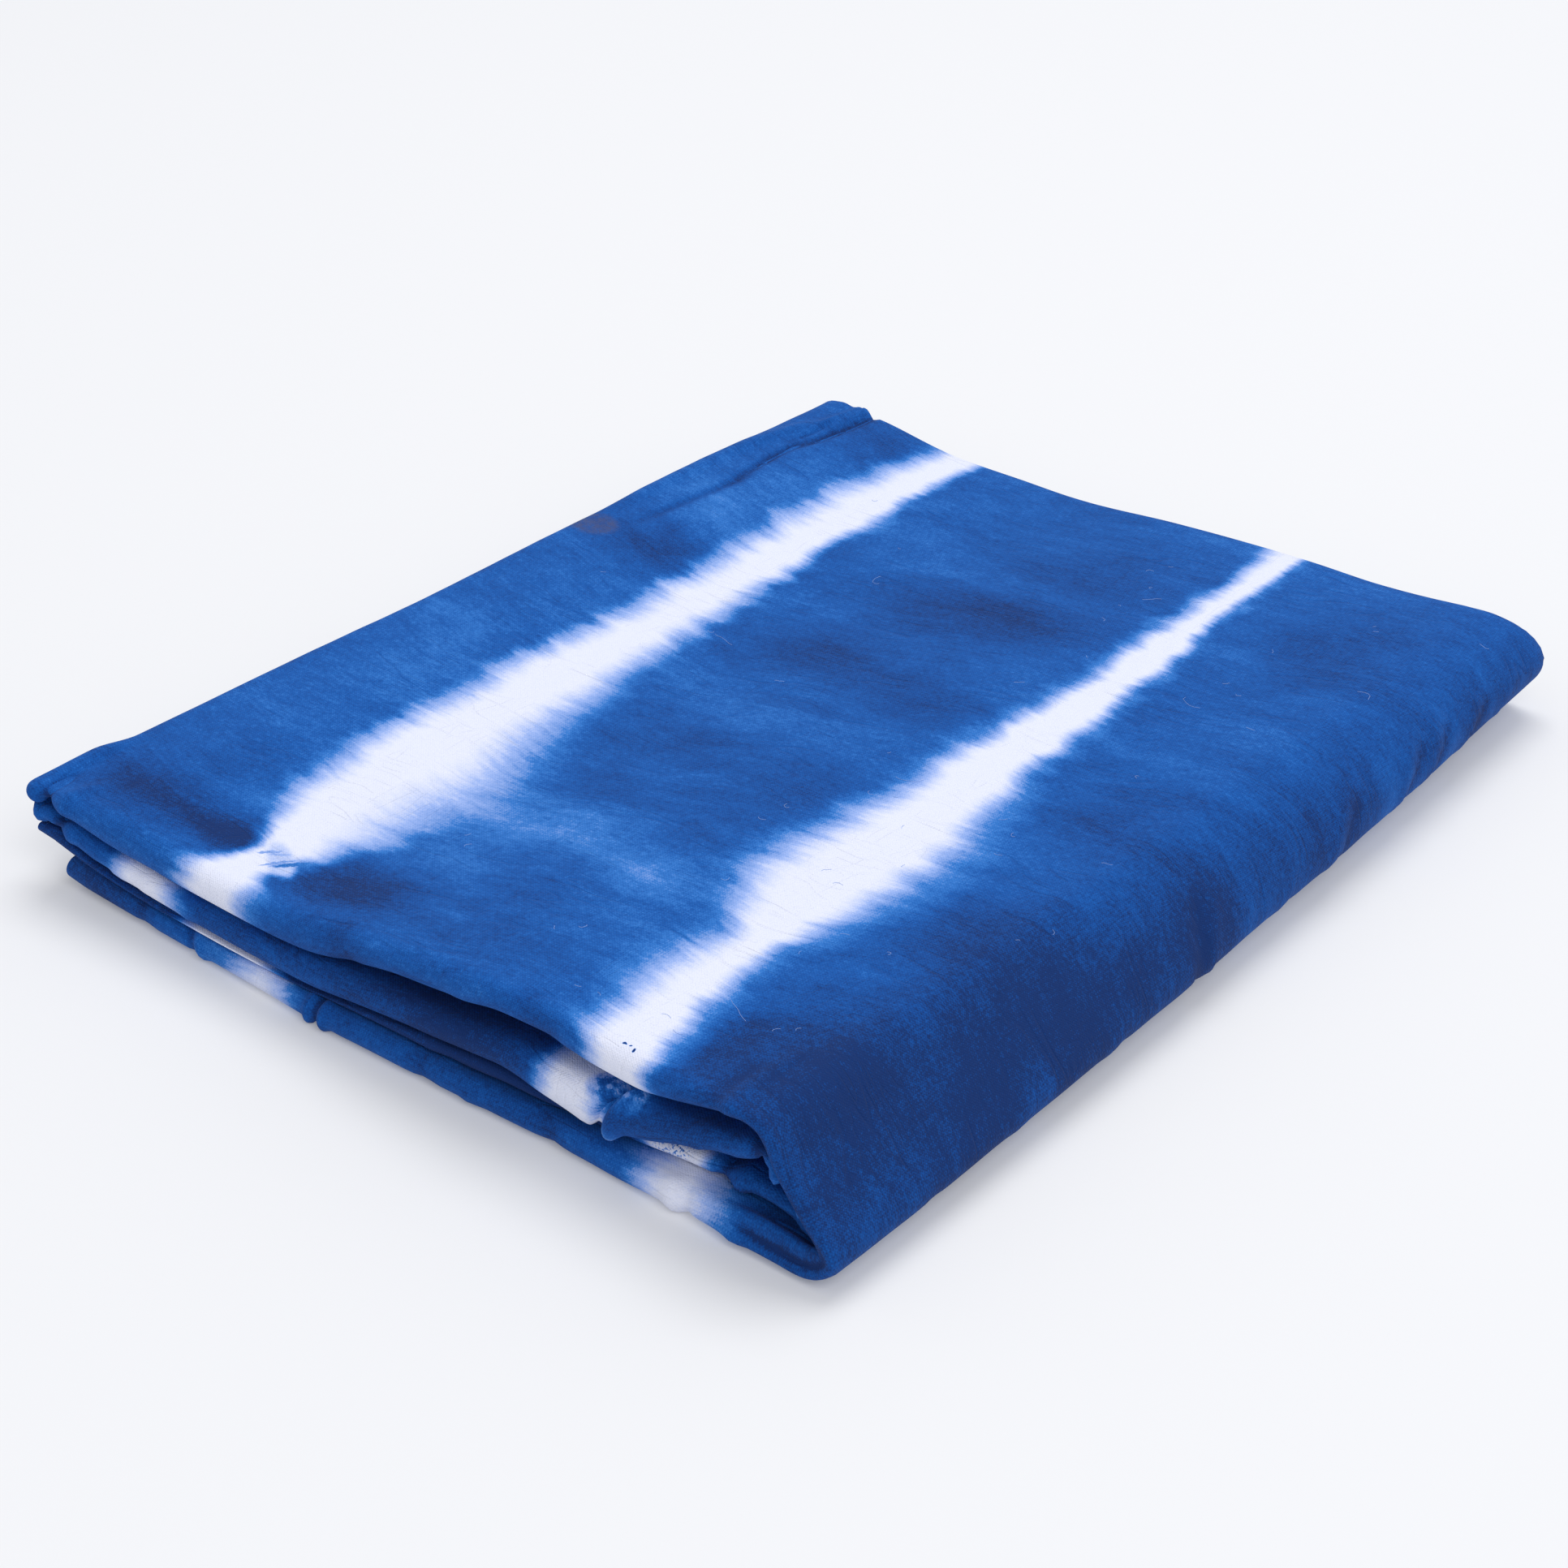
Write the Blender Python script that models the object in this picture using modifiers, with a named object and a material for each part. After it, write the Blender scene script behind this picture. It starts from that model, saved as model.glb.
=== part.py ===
"""Folded shibori dyed cloth, one length of plain woven cotton.

The cloth is first folded in two along its front edge, so that every layer of
the bundle is a pair of plies joined by a soft lip at the front and open at the
back. The pair is then folded across its width: the lowest layer runs from its
free end on the left to the outer fold on the right, the top layer comes back
over it to the left fold, and the second and third layers are tucked between
them round the inner fold on the right. It is one sheet and one solid.

X runs across the folds, Y along them (the front lip is at -Y), Z is up.
"""

import math
from collections import namedtuple

import bpy
import numpy as np

MM = 0.001

# Driving sizes, metres
BUNDLE_LENGTH = 0.3620
PLY = 0.0015
MIDDLE_X = -0.00335
MIDDLE_Y = -0.00162
FRONT_Y = -0.1826
BACK_Y = FRONT_Y + BUNDLE_LENGTH

# Steps of the grid along the strip and across it
LAYER_STEPS = 10
FOLD_STEPS = (18, 8, 10)
FLAT_STEPS = 7
LIP_STEPS = 6

# Heights of the layers' outer faces at sections across the bundle, in mm:
# the lowest layer lies on the ground, the first is the top one
Section = namedtuple(
    "Section", "x base_top third_low third_top second_low second_top first_low first_top")

FRONT_SECTIONS = (
    Section(-145, 12.6, 13.5, 18.0, 19.0, 23.8, 27.4, 32.2),
    Section(-118, 10.8, 11.5, 15.8, 16.6, 21.6, 23.2, 33.0),
    Section(-88, 8.8, 9.5, 13.9, 14.6, 20.3, 21.3, 32.0),
    Section(-50, 8.0, 8.7, 13.0, 13.7, 20.3, 21.5, 32.0),
    Section(-15, 7.8, 8.5, 12.8, 13.6, 21.5, 27.0, 37.0),
    Section(15, 7.8, 8.5, 13.0, 14.4, 23.0, 31.0, 41.0),
    Section(42, 8.0, 8.7, 13.0, 14.4, 25.0, 33.8, 43.0),
    Section(66, 8.4, 9.0, 13.2, 13.9, 26.0, 33.0, 43.0),
    Section(92, 9.4, 10.6, 15.6, 20.5, 29.0, 34.6, 43.0),
    Section(116, 8.6, 10.4, 15.4, 26.5, 33.0, 37.0, 43.8),
)

BACK_SECTIONS = (
    Section(-145, 5.6, 6.6, 11.2, 12.4, 17.4, 23.4, 31.4),
    Section(-118, 5.2, 6.2, 11.2, 12.3, 17.6, 19.2, 28.4),
    Section(-88, 4.7, 5.4, 9.9, 10.7, 15.4, 16.2, 23.6),
    Section(-60, 4.6, 5.3, 9.7, 10.4, 15.0, 15.8, 22.4),
    Section(-30, 4.6, 5.3, 9.8, 10.6, 15.3, 16.1, 22.8),
    Section(5, 4.9, 5.7, 10.5, 11.5, 16.7, 17.8, 25.6),
    Section(40, 5.2, 6.1, 11.2, 12.4, 17.9, 19.2, 27.4),
    Section(80, 5.4, 6.3, 11.4, 13.4, 18.9, 20.4, 27.8),
    Section(116, 5.4, 6.3, 11.2, 15.2, 20.7, 23.6, 30.4),
)

# The four layers in the strip's order: where each one starts and ends across the
# width, how far its front lip stands back, and how far the lip sags (mm)
Layer = namedtuple("Layer", "low top start_front start_back end_front end_back lip_back sag")

LAYERS = (
    Layer(None, "base_top", -137, -136, 124, 114, 0.8, 0.0),
    Layer("first_low", "first_top", 111, 116, -145.5, -139.5, 0.0, 0.0),
    Layer("second_low", "second_top", -145.5, -139.5, 108, 112, 1.5, 2.6),
    Layer("third_low", "third_top", 115, 112, -147, -143, 10.0, 0.0),
)

# The folds between one layer and the next, as the points that the middle of the
# two plies turns through (mm), at the front, half way back and at the back
Turn = namedtuple("Turn", "front_x front_z half_x half_z back_x back_z")
Fold = namedtuple("Fold", "half_distance turns")

FOLDS = (
    Fold(1.9, (
        Turn(134.0, 4.9, 135.0, 5.3, 130.5, 6.0),
        Turn(138.9, 9.8, 142.6, 11.5, 138.5, 12.2),
        Turn(133.2, 18.5, 140.5, 21.0, 141.6, 19.4),
        Turn(126.0, 28.5, 132.5, 29.3, 136.6, 24.9),
        Turn(119.0, 38.6, 122.0, 33.6, 126.5, 27.2))),
    Fold(1.5, (
        Turn(-148.5, 28.7, -145.4, 27.2, -143.6, 25.4),
        Turn(-150.0, 25.6, -147.0, 23.3, -145.4, 21.0),
        Turn(-148.5, 22.5, -145.4, 19.6, -143.6, 16.6))),
    Fold(1.5, (
        Turn(114.5, 28.6, 118.5, 23.2, 116.2, 17.3),
        Turn(121.0, 24.0, 125.4, 18.8, 119.6, 14.8),
        Turn(125.6, 18.4, 126.8, 14.2, 119.4, 11.2),
        Turn(122.6, 13.6, 122.0, 11.1, 116.0, 8.9))),
)

# How the back edges of the plies lie behind one another, mm, layer by layer
BACK_EDGES = ((0.0, -2.5), (-1.0, -4.0), (-3.0, -1.5), (-5.0, -2.0))

# The front lips: how deep they may be, and their depth for their half height
LIP_DEPTH = 6.0 * MM
LIP_ROUNDNESS = 1.15

# The second layer's lip sags over the left part of the front: how far in from
# the lip the sag reaches, and where it begins and ends across the width
SAG_LENGTH = 9.0 * MM
SAG_START, SAG_FULL = -150.0 * MM, -120.0 * MM
SAG_EASING, SAG_END = 66.0 * MM, 86.0 * MM

# The free ends: how far in from the end the plies close up, and how much
END_TAPER = 9.0 * MM
END_THICKNESS = 0.62

# Rows of points stand closer together towards the lip than at the back edge
ROW_CROWDING = 1.35

# Soft waves of the upper layers: height as a share, wave lengths in metres, where
# the waves start as a share of their length, and how far they run aslant
WAVE_SHARE = 0.018
WAVE_ALONG = 0.21
WAVE_ACROSS = 0.17
WAVE_START_X = 0.15
WAVE_START_Y = 0.10
WAVE_SLANT = 0.30

# Finish of the dyed cotton
COTTON_BLUE = (0.035, 0.105, 0.330, 1.0)
COTTON_ROUGHNESS = 0.88


def smooth(value):
    """Return a soft step from 0 to 1."""
    value = min(max(value, 0.0), 1.0)
    return value * value * (3.0 - 2.0 * value)


def column_value(sections, column, x):
    """Read one height of the section table at x, along a smooth curve, in mm."""
    places = [row.x for row in sections]
    heights = [getattr(row, column) for row in sections]
    x = min(max(x, places[0]), places[-1])
    index = min(int(np.searchsorted(places, x, side="right")) - 1, len(places) - 2)
    span = places[index + 1] - places[index]
    part = (x - places[index]) / span
    slopes = []
    for place in (index, index + 1):
        before = max(place - 1, 0)
        after = min(place + 1, len(places) - 1)
        slopes.append((heights[after] - heights[before]) / (places[after] - places[before]))
    square = part * part
    cube = square * part
    return ((2 * cube - 3 * square + 1) * heights[index]
            + (cube - 2 * square + part) * span * slopes[0]
            + (3 * square - 2 * cube) * heights[index + 1]
            + (cube - square) * span * slopes[1])


def height(column, x, back):
    """Height of a layer's outer face in metres; back is 0 at the front, 1 behind."""
    if column is None:
        return 0.0
    front_height = column_value(FRONT_SECTIONS, column, x)
    back_height = column_value(BACK_SECTIONS, column, x)
    return (front_height + (back_height - front_height) * back) * MM


def blend(front, back_value, back):
    """Mix a front and a back size given in mm, and return metres."""
    return (front + (back_value - front) * back) * MM


def layer_point(number, part, y):
    """Middle of a layer's two plies at a share of its run, and half their distance."""
    layer = LAYERS[number]
    back = (y - FRONT_Y) / BUNDLE_LENGTH
    start = blend(layer.start_front, layer.start_back, back)
    end = blend(layer.end_front, layer.end_back, back)
    x = start + (end - start) * part
    low = height(layer.low, x / MM, back)
    top = height(layer.top, x / MM, back)
    low -= layer.sag * MM * (1.0 - smooth((y - FRONT_Y) / SAG_LENGTH)) * sag_share(x)
    half = (top - low - PLY) / 2.0
    if number == 0:
        half *= end_share(part * (end - start))
    if number == len(LAYERS) - 1:
        half *= end_share((1.0 - part) * (start - end))
    return np.array([x, (low + top) / 2.0]), half


def sag_share(x):
    """How much of its sag the second layer's lip has at x."""
    rise = smooth((x - SAG_START) / (SAG_FULL - SAG_START))
    fall = smooth((x - SAG_EASING) / (SAG_END - SAG_EASING))
    return rise * (1.0 - fall)


def end_share(distance):
    """The plies close up towards the strip's two free ends."""
    return END_THICKNESS + (1.0 - END_THICKNESS) * math.sqrt(smooth(distance / END_TAPER))


def curve_through(points, start_way, end_way, part):
    """Place and heading on a smooth curve through points, at a share of its run."""
    steps = [float(np.linalg.norm(b - a)) for a, b in zip(points, points[1:])]
    ways = [start_way]
    for index in range(1, len(points) - 1):
        ways.append((points[index + 1] - points[index - 1]) / (steps[index - 1] + steps[index]))
    ways.append(end_way)
    index = min(int(part * len(steps)), len(steps) - 1)
    span = steps[index]
    share = part * len(steps) - index
    square = share * share
    cube = square * share
    point = ((2 * cube - 3 * square + 1) * points[index]
             + (cube - 2 * square + share) * span * ways[index]
             + (3 * square - 2 * cube) * points[index + 1]
             + (cube - square) * span * ways[index + 1])
    heading = ((6 * square - 6 * share) / span * points[index]
               + (3 * square - 4 * share + 1) * ways[index]
               + (6 * share - 6 * square) / span * points[index + 1]
               + (3 * square - 2 * share) * ways[index + 1])
    return point, heading / np.linalg.norm(heading)


def turn_place(turn, back):
    """Place of a fold's turning point at a share of the way back, metres."""
    front = np.array([turn.front_x, turn.front_z])
    half = np.array([turn.half_x, turn.half_z])
    behind = np.array([turn.back_x, turn.back_z])
    mixed = (front * (2 * back - 1) * (back - 1) + half * 4 * back * (1 - back)
             + behind * back * (2 * back - 1))
    return mixed * MM


def fold_point(number, part, y):
    """Middle of the plies round the fold after a layer, and the way to the outer ply."""
    fold = FOLDS[number]
    back = (y - FRONT_Y) / BUNDLE_LENGTH
    start, half_start = layer_point(number, 1.0, y)
    end, half_end = layer_point(number + 1, 0.0, y)
    points = [start] + [turn_place(turn, back) for turn in fold.turns] + [end]
    way = np.array([-1.0, 0.0]) if number == 1 else np.array([1.0, 0.0])
    middle, heading = curve_through(points, way, -way, part)
    half = fold.half_distance * MM
    if part < 0.5:
        half = half_start + (half - half_start) * smooth(part * 2.0)
    else:
        half = half + (half_end - half) * smooth(part * 2.0 - 1.0)
    return middle, half * np.array([heading[1], -heading[0]])


def strip_stations():
    """The stations along the strip: layer or fold, its number and its share."""
    stations = []
    for number in range(len(LAYERS)):
        for step in range(LAYER_STEPS):
            stations.append(("layer", number, step / LAYER_STEPS))
        if number < len(FOLDS):
            for step in range(FOLD_STEPS[number]):
                stations.append(("fold", number, step / FOLD_STEPS[number]))
    stations.append(("layer", len(LAYERS) - 1, 1.0))
    return stations


def section_at(station, y):
    """Middle of the pair of plies, and the way from there to the first ply."""
    kind, number, part = station
    if kind == "fold":
        return fold_point(number, part, y)
    middle, half = layer_point(number, part, y)
    side = -1.0 if number % 2 == 0 else 1.0
    return middle, np.array([0.0, half * side])


def lip_back_at(station):
    """How far the front lip stands back at a station, metres."""
    kind, number, part = station
    if kind == "layer":
        return LAYERS[number].lip_back * MM
    change = LAYERS[number + 1].lip_back - LAYERS[number].lip_back
    return (LAYERS[number].lip_back + change * smooth(part)) * MM


def back_edge_at(station, ply):
    """Y of a ply's back edge at a station."""
    kind, number, part = station
    edge = BACK_EDGES[number][ply]
    if kind == "fold":
        edge += (BACK_EDGES[number + 1][ply] - edge) * smooth(part)
    return BACK_Y + edge * MM


def wave(x, y, z):
    """Lift of the soft waves, none on the ground and most on the top layer."""
    wave_x = math.sin(2.0 * math.pi * (x / WAVE_ACROSS + WAVE_START_X))
    slant = WAVE_SLANT * x / WAVE_ACROSS
    wave_y = math.sin(2.0 * math.pi * (y / WAVE_ALONG + WAVE_START_Y + slant))
    return WAVE_SHARE * wave_x * wave_y * max(z - PLY, 0.0)


def strip_point(station, across):
    """A point of the strip: across runs from the first ply's back edge, round the
    lip at the front, to the second ply's back edge."""
    flat = FLAT_STEPS
    lip_y = FRONT_Y + lip_back_at(station) + PLY / 2.0
    _, half = section_at(station, lip_y)
    depth = min(LIP_DEPTH, float(np.linalg.norm(half)) * LIP_ROUNDNESS)
    lip_start = lip_y + depth
    if flat <= across <= flat + LIP_STEPS:
        turn = math.pi * (across - flat) / LIP_STEPS
        y = lip_start - depth * math.sin(turn)
        middle, half = section_at(station, y)
        place = middle + half * math.cos(turn)
    else:
        ply = 0 if across < flat else 1
        step = flat - across if ply == 0 else across - flat - LIP_STEPS
        back_y = back_edge_at(station, ply)
        share = step / flat
        y = lip_start + (back_y - lip_start) * share ** ROW_CROWDING
        middle, half = section_at(station, y)
        place = middle + half if ply == 0 else middle - half
    x, z = float(place[0]), float(place[1])
    return x - MIDDLE_X, y - MIDDLE_Y, z + wave(x, y, z)


def cotton_material():
    """Blue dyed cotton with a matt finish."""
    material = bpy.data.materials.new("dyed_cotton")
    material.use_nodes = True
    surface = material.node_tree.nodes["Principled BSDF"]
    surface.inputs["Base Color"].default_value = COTTON_BLUE
    surface.inputs["Roughness"].default_value = COTTON_ROUGHNESS
    surface.inputs["Metallic"].default_value = 0.0
    return material


def folded_cloth(collection):
    """The whole cloth as one folded sheet with a real thickness."""
    stations = strip_stations()
    across_count = 2 * FLAT_STEPS + LIP_STEPS + 1
    bpy.ops.mesh.primitive_grid_add(
        x_subdivisions=len(stations) - 1, y_subdivisions=across_count - 1, size=2.0)
    cloth = bpy.context.active_object
    cloth.name = "folded_cloth"
    cloth.data.name = "folded_cloth"
    for vertex in cloth.data.vertices:
        column = round((vertex.co.x + 1.0) / 2.0 * (len(stations) - 1))
        row = round((vertex.co.y + 1.0) / 2.0 * (across_count - 1))
        vertex.co = strip_point(stations[column], row)
    thickness = cloth.modifiers.new("ply thickness", "SOLIDIFY")
    thickness.thickness = PLY
    thickness.offset = 0.0
    thickness.use_even_offset = True
    cloth.data.materials.append(cotton_material())
    cloth.data.shade_smooth()
    for owner in list(cloth.users_collection):
        owner.objects.unlink(cloth)
    collection.objects.link(cloth)
    return cloth


def main():
    for item in list(bpy.data.objects):
        bpy.data.objects.remove(item, do_unlink=True)
    collection = bpy.data.collections.new("shibori_cloth")
    bpy.context.scene.collection.children.link(collection)
    folded_cloth(collection)


main()
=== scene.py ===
"""Looks of the folded shibori dyed cloth.

The cloth is drawn again as a thin sheet on the folds of its solid, with finer
steps, its hems, creases and tucks, and more plies between the outer ones. The
indigo dye follows the flat cloth: two white resist bands with feathered edges
run along the folds on each layer, and the blue between them goes from azure
beside the bands to navy.

X runs across the folds, Y along them (the front lip is at -Y), Z is up. U is the
way along the strip of cloth, equal to X on the top layer, and V the way across
it, measured round the front lip from the lip's middle.
"""

import math
import random
from collections import namedtuple

import bpy
import numpy as np
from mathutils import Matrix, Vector, noise
from mathutils.bvhtree import BVHTree


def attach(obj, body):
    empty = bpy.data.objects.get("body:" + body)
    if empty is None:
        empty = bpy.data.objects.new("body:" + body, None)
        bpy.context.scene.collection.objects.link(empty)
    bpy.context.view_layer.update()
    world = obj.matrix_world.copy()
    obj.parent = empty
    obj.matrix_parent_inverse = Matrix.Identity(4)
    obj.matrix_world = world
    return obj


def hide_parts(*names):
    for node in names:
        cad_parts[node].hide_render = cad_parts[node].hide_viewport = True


bl_info = {
    "name": "Folded shibori cloth",
    "version": (1, 0, 0),
    "blender": (4, 5, 0),
    "location": "View3D > Sidebar > Shibori",
    "description": "A length of indigo dyed cotton, folded into a soft bundle",
    "category": "Add Mesh",
}

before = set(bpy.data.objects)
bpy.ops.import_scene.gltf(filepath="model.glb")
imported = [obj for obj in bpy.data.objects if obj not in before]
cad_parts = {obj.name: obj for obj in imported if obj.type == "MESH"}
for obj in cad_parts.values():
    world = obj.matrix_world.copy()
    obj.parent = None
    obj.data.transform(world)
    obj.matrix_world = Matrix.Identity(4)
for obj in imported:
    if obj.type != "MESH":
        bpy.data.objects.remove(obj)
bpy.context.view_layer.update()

MM = 0.001
IMAGE_SIZE = 1932


def table(kind, *rows):
    """Rows of sizes as named tuples of a kind."""
    return tuple(kind(*row) for row in rows)


def placed(kind, place, *rows):
    """Rows of sizes of one place as named tuples of a kind."""
    return tuple(kind(place, *row) for row in rows)


# Driving sizes of the bundle, as in its solid, in metres
BUNDLE_LENGTH = 0.3620
MIDDLE_X = -0.00335
MIDDLE_Y = -0.00162
FRONT_Y = -0.1826
BACK_Y = FRONT_Y + BUNDLE_LENGTH
THREAD_PITCH = 0.00045

# Heights of the layers' outer faces at sections across the bundle, in mm
Section = namedtuple(
    "Section", "x base_top third_low third_top second_low second_top first_low first_top")

FRONT_SECTIONS = table(
    Section,
    (-145, 12.6, 13.5, 18.0, 19.0, 23.8, 27.4, 32.2),
    (-118, 10.8, 11.5, 15.8, 16.6, 21.6, 23.2, 33.0),
    (-88, 8.8, 9.5, 13.9, 14.6, 20.3, 21.3, 32.0),
    (-50, 8.0, 8.7, 13.0, 13.7, 20.3, 21.5, 32.0),
    (-15, 7.8, 8.5, 12.8, 13.6, 21.5, 27.0, 37.0),
    (15, 7.8, 8.5, 13.0, 14.4, 23.0, 31.0, 41.0),
    (42, 8.0, 8.7, 13.0, 14.4, 25.0, 33.8, 43.0),
    (66, 8.4, 9.0, 13.2, 13.9, 26.0, 33.0, 43.0),
    (92, 9.4, 10.6, 15.6, 20.5, 29.0, 34.6, 43.0),
    (116, 8.6, 10.4, 15.4, 26.5, 33.0, 37.0, 43.8),
)

BACK_SECTIONS = table(
    Section,
    (-145, 5.6, 6.6, 11.2, 12.4, 17.4, 23.4, 31.4),
    (-118, 5.2, 6.2, 11.2, 12.3, 17.6, 19.2, 28.4),
    (-88, 4.7, 5.4, 9.9, 10.7, 15.4, 16.2, 23.6),
    (-60, 4.6, 5.3, 9.7, 10.4, 15.0, 15.8, 22.4),
    (-30, 4.6, 5.3, 9.8, 10.6, 15.3, 16.1, 22.8),
    (5, 4.9, 5.7, 10.5, 11.5, 16.7, 17.8, 25.6),
    (40, 5.2, 6.1, 11.2, 12.4, 17.9, 19.2, 27.4),
    (80, 5.4, 6.3, 11.4, 13.4, 18.9, 20.4, 27.8),
    (116, 5.4, 6.3, 11.2, 15.2, 20.7, 23.6, 30.4),
)

# Heights at the front lips themselves, which droop and part unevenly
LIP_SECTIONS = table(
    Section,
    (-145, 12.4, 14.6, 19.8, 20.4, 25.2, 28.4, 32.4),
    (-137, 12.0, 13.2, 17.0, 17.6, 23.6, 25.8, 32.6),
    (-129, 11.6, 12.1, 14.0, 14.6, 22.4, 23.4, 32.6),
    (-118, 10.2, 10.7, 11.9, 12.3, 20.6, 21.4, 33.0),
    (-101, 8.6, 9.1, 10.4, 10.8, 20.0, 20.7, 32.6),
    (-88, 8.2, 8.7, 9.8, 10.2, 19.4, 20.0, 32.0),
    (-70, 7.8, 8.3, 9.2, 9.6, 19.0, 19.6, 32.0),
    (-50, 7.6, 8.1, 9.0, 9.4, 19.0, 19.6, 32.0),
    (-35, 7.7, 8.2, 9.1, 9.5, 19.6, 20.8, 33.2),
    (-21, 8.0, 8.5, 10.3, 10.8, 20.4, 24.2, 35.6),
    (-6, 7.9, 8.4, 11.2, 11.7, 21.2, 27.6, 37.6),
    (8, 7.9, 8.4, 11.9, 12.5, 22.0, 28.8, 39.6),
    (22, 8.0, 8.5, 13.0, 14.0, 23.2, 30.8, 41.0),
    (34, 8.0, 8.6, 13.6, 15.2, 24.4, 33.2, 42.4),
    (46, 8.1, 8.7, 12.0, 12.6, 25.2, 33.6, 43.0),
    (56, 8.3, 8.8, 10.8, 11.3, 25.6, 32.8, 43.0),
    (63, 8.2, 8.7, 9.8, 10.3, 26.0, 31.6, 43.0),
    (72, 7.4, 8.0, 11.4, 12.4, 26.6, 31.0, 43.0),
    (82, 8.2, 8.9, 13.2, 15.2, 27.6, 31.2, 43.0),
    (92, 9.0, 10.0, 15.2, 19.2, 29.0, 34.0, 43.0),
    (102, 9.2, 10.4, 15.4, 23.4, 30.6, 37.4, 43.3),
    (109, 8.9, 10.4, 15.4, 25.0, 31.8, 39.4, 43.6),
    (116, 8.6, 10.4, 15.4, 26.5, 33.0, 41.8, 44.2),
)
LIP_REACH = 17.0 * MM

# The layers in the strip's order: the columns of their heights, and the X in mm
# where each starts and ends, at the front and at the back
Layer = namedtuple("Layer", "low top start_front start_back end_front end_back")

LAYERS = table(
    Layer,
    (None, "base_top", -139.4, -136, 124, 114),
    ("first_low", "first_top", 111, 116, -145.5, -139.5),
    ("second_low", "second_top", -145.5, -139.5, 108, 112),
    ("third_low", "third_top", 115, 112, -149.4, -143),
)
BASE, TOP, SECOND, THIRD = range(4)
LAYER_NAMES = ("base", "top", "second", "third")

# How far each layer's lip lies behind the front, mm, at places across it
LIP_BACKS = (
    ((-139, 1.0), (-60, -0.4), (-25, -1.8), (10, -1.0), (50, 0.4), (124, 0.6)),
    ((-145, 0.0), (115, 0.0)),
    ((-145, 0.6), (-90, 0.0), (-40, 0.0), (0, 1.4), (60, 0.4), (108, 1.6)),
    ((-149, 0.6), (-118, 1.0), (-60, 1.6), (0, 2.6), (40, 4.6), (70, 7.5), (115, 8.5)),
)

# The folds between the layers, as the points that the middle of the pair turns through
Turn = namedtuple("Turn", "front_x front_z half_x half_z back_x back_z")
Fold = namedtuple("Fold", "half_distance turns")

FOLDS = (
    Fold(1.9, (
        Turn(134.0, 4.9, 135.0, 5.3, 130.5, 6.0),
        Turn(138.9, 9.8, 142.6, 11.5, 138.5, 12.2),
        Turn(133.2, 18.5, 140.5, 21.0, 141.6, 19.4),
        Turn(125.4, 29.3, 132.5, 29.3, 136.6, 24.9),
        Turn(119.5, 39.8, 122.0, 33.6, 126.5, 27.2))),
    Fold(1.5, (
        Turn(-148.5, 28.7, -145.4, 27.2, -143.6, 25.4),
        Turn(-150.0, 25.6, -147.0, 23.3, -145.4, 21.0),
        Turn(-148.5, 22.5, -145.4, 19.6, -143.6, 16.6))),
    Fold(1.5, (
        Turn(114.5, 28.6, 118.5, 23.2, 116.2, 17.3),
        Turn(121.0, 24.0, 125.4, 18.8, 119.6, 14.8),
        Turn(125.6, 18.4, 126.8, 14.2, 119.4, 11.2),
        Turn(122.6, 13.6, 122.0, 11.1, 116.0, 8.9))),
)
LEFT, INNER = 1, 2
FOLD_NAMES = ("outer fold", "left fold", "inner fold")

# Where the inner fold's turns go at its crumpled front, mm
INNER_FRONT = ((117.6, 30.6), (124.6, 23.8), (130.6, 16.2), (133.4, 10.2))
INNER_REACH = 26.0 * MM

# How the plies' back edges lie behind one another, mm, layer by layer
BACK_EDGES = ((0.0, -2.5), (-1.0, -4.0), (-3.0, -1.5), (-5.0, -2.0))

# The solid's plies are this thick, and the sheet lies on their outer faces
SOLID_PLY = 1.5 * MM
SHEET = 0.4 * MM
PROUD = (SOLID_PLY - SHEET) / 2.0

# A lip is as deep as half its pair's distance times the roundness, to this limit
LIP_DEPTH = 6.0 * MM
LIP_ROUNDNESS = 1.15

# The strip's free ends: how long they taper, and the share of the distance left
END_TAPER = 9.0 * MM
END_THICKNESS = 0.62

# Soft waves of the bundle, as in its solid: share of the height, lengths in metres,
# starts and slant
WAVE_SHARE = 0.018
WAVE_ALONG = 0.21
WAVE_ACROSS = 0.17
WAVE_START_X = 0.15
WAVE_START_Y = 0.10
WAVE_SLANT = 0.30

# Steps along each layer, round each fold, over the two plies and round their lip
Steps = namedtuple("Steps", "layers folds first second lip")
OUTER_STEPS = Steps((120, 140, 104, 50), (50, 14, 28), first=128, second=30, lip=20)
INNER_STEPS = Steps((34, 34, 34, 34), (16, 8, 10), first=30, second=24, lip=6)

# Places at which a layer's run is weighed before it is divided into steps
RUN_PLACES = 2001

# How much closer together the steps over each ply stand towards the lip
FIRST_PLY_CROWDING = 1.12
SECOND_PLY_CROWDING = 2.1

# The hems: their width, the radius of the rolled edge, and the steps round it
HEM_WIDTH = 9.0 * MM
HEM_ROLL = 0.55 * MM
HEM_TURNS = 3
HEM_ROWS = HEM_TURNS + 1

# Uneven back edges of the plies: how far they wander, and the noise that they follow
OUTER_WANDER = 1.5 * MM
INNER_WANDER = 4.0 * MM
WANDER_STEP = 0.045
WANDER_PAIR = 7.3
WANDER_PLY = 3.1
WANDER_LEVEL = 0.5

# Soft ripples: wide and small ones to the metre along and across, the share of the
# small ones, and the seeds
WIDE_RIPPLES = (16.0, 24.0)
SMALL_RIPPLES = (55.0, 70.0)
SMALL_RIPPLE_SHARE = 0.35
SMALL_RIPPLE_SEED = 5.0
OUTER_RIPPLE_SEED = 2.0
INNER_RIPPLE_SEED = 9.0
INNER_RIPPLE_SHARE = 0.8
INNER_SEED = 3

# The innermost pair's distance, as a share of the step from one pair to the next
INNERMOST_SHARE = 0.5

# How far back the strip's length is measured, as a share of the bundle's length
REFERENCE_SHARE = 0.3
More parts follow.
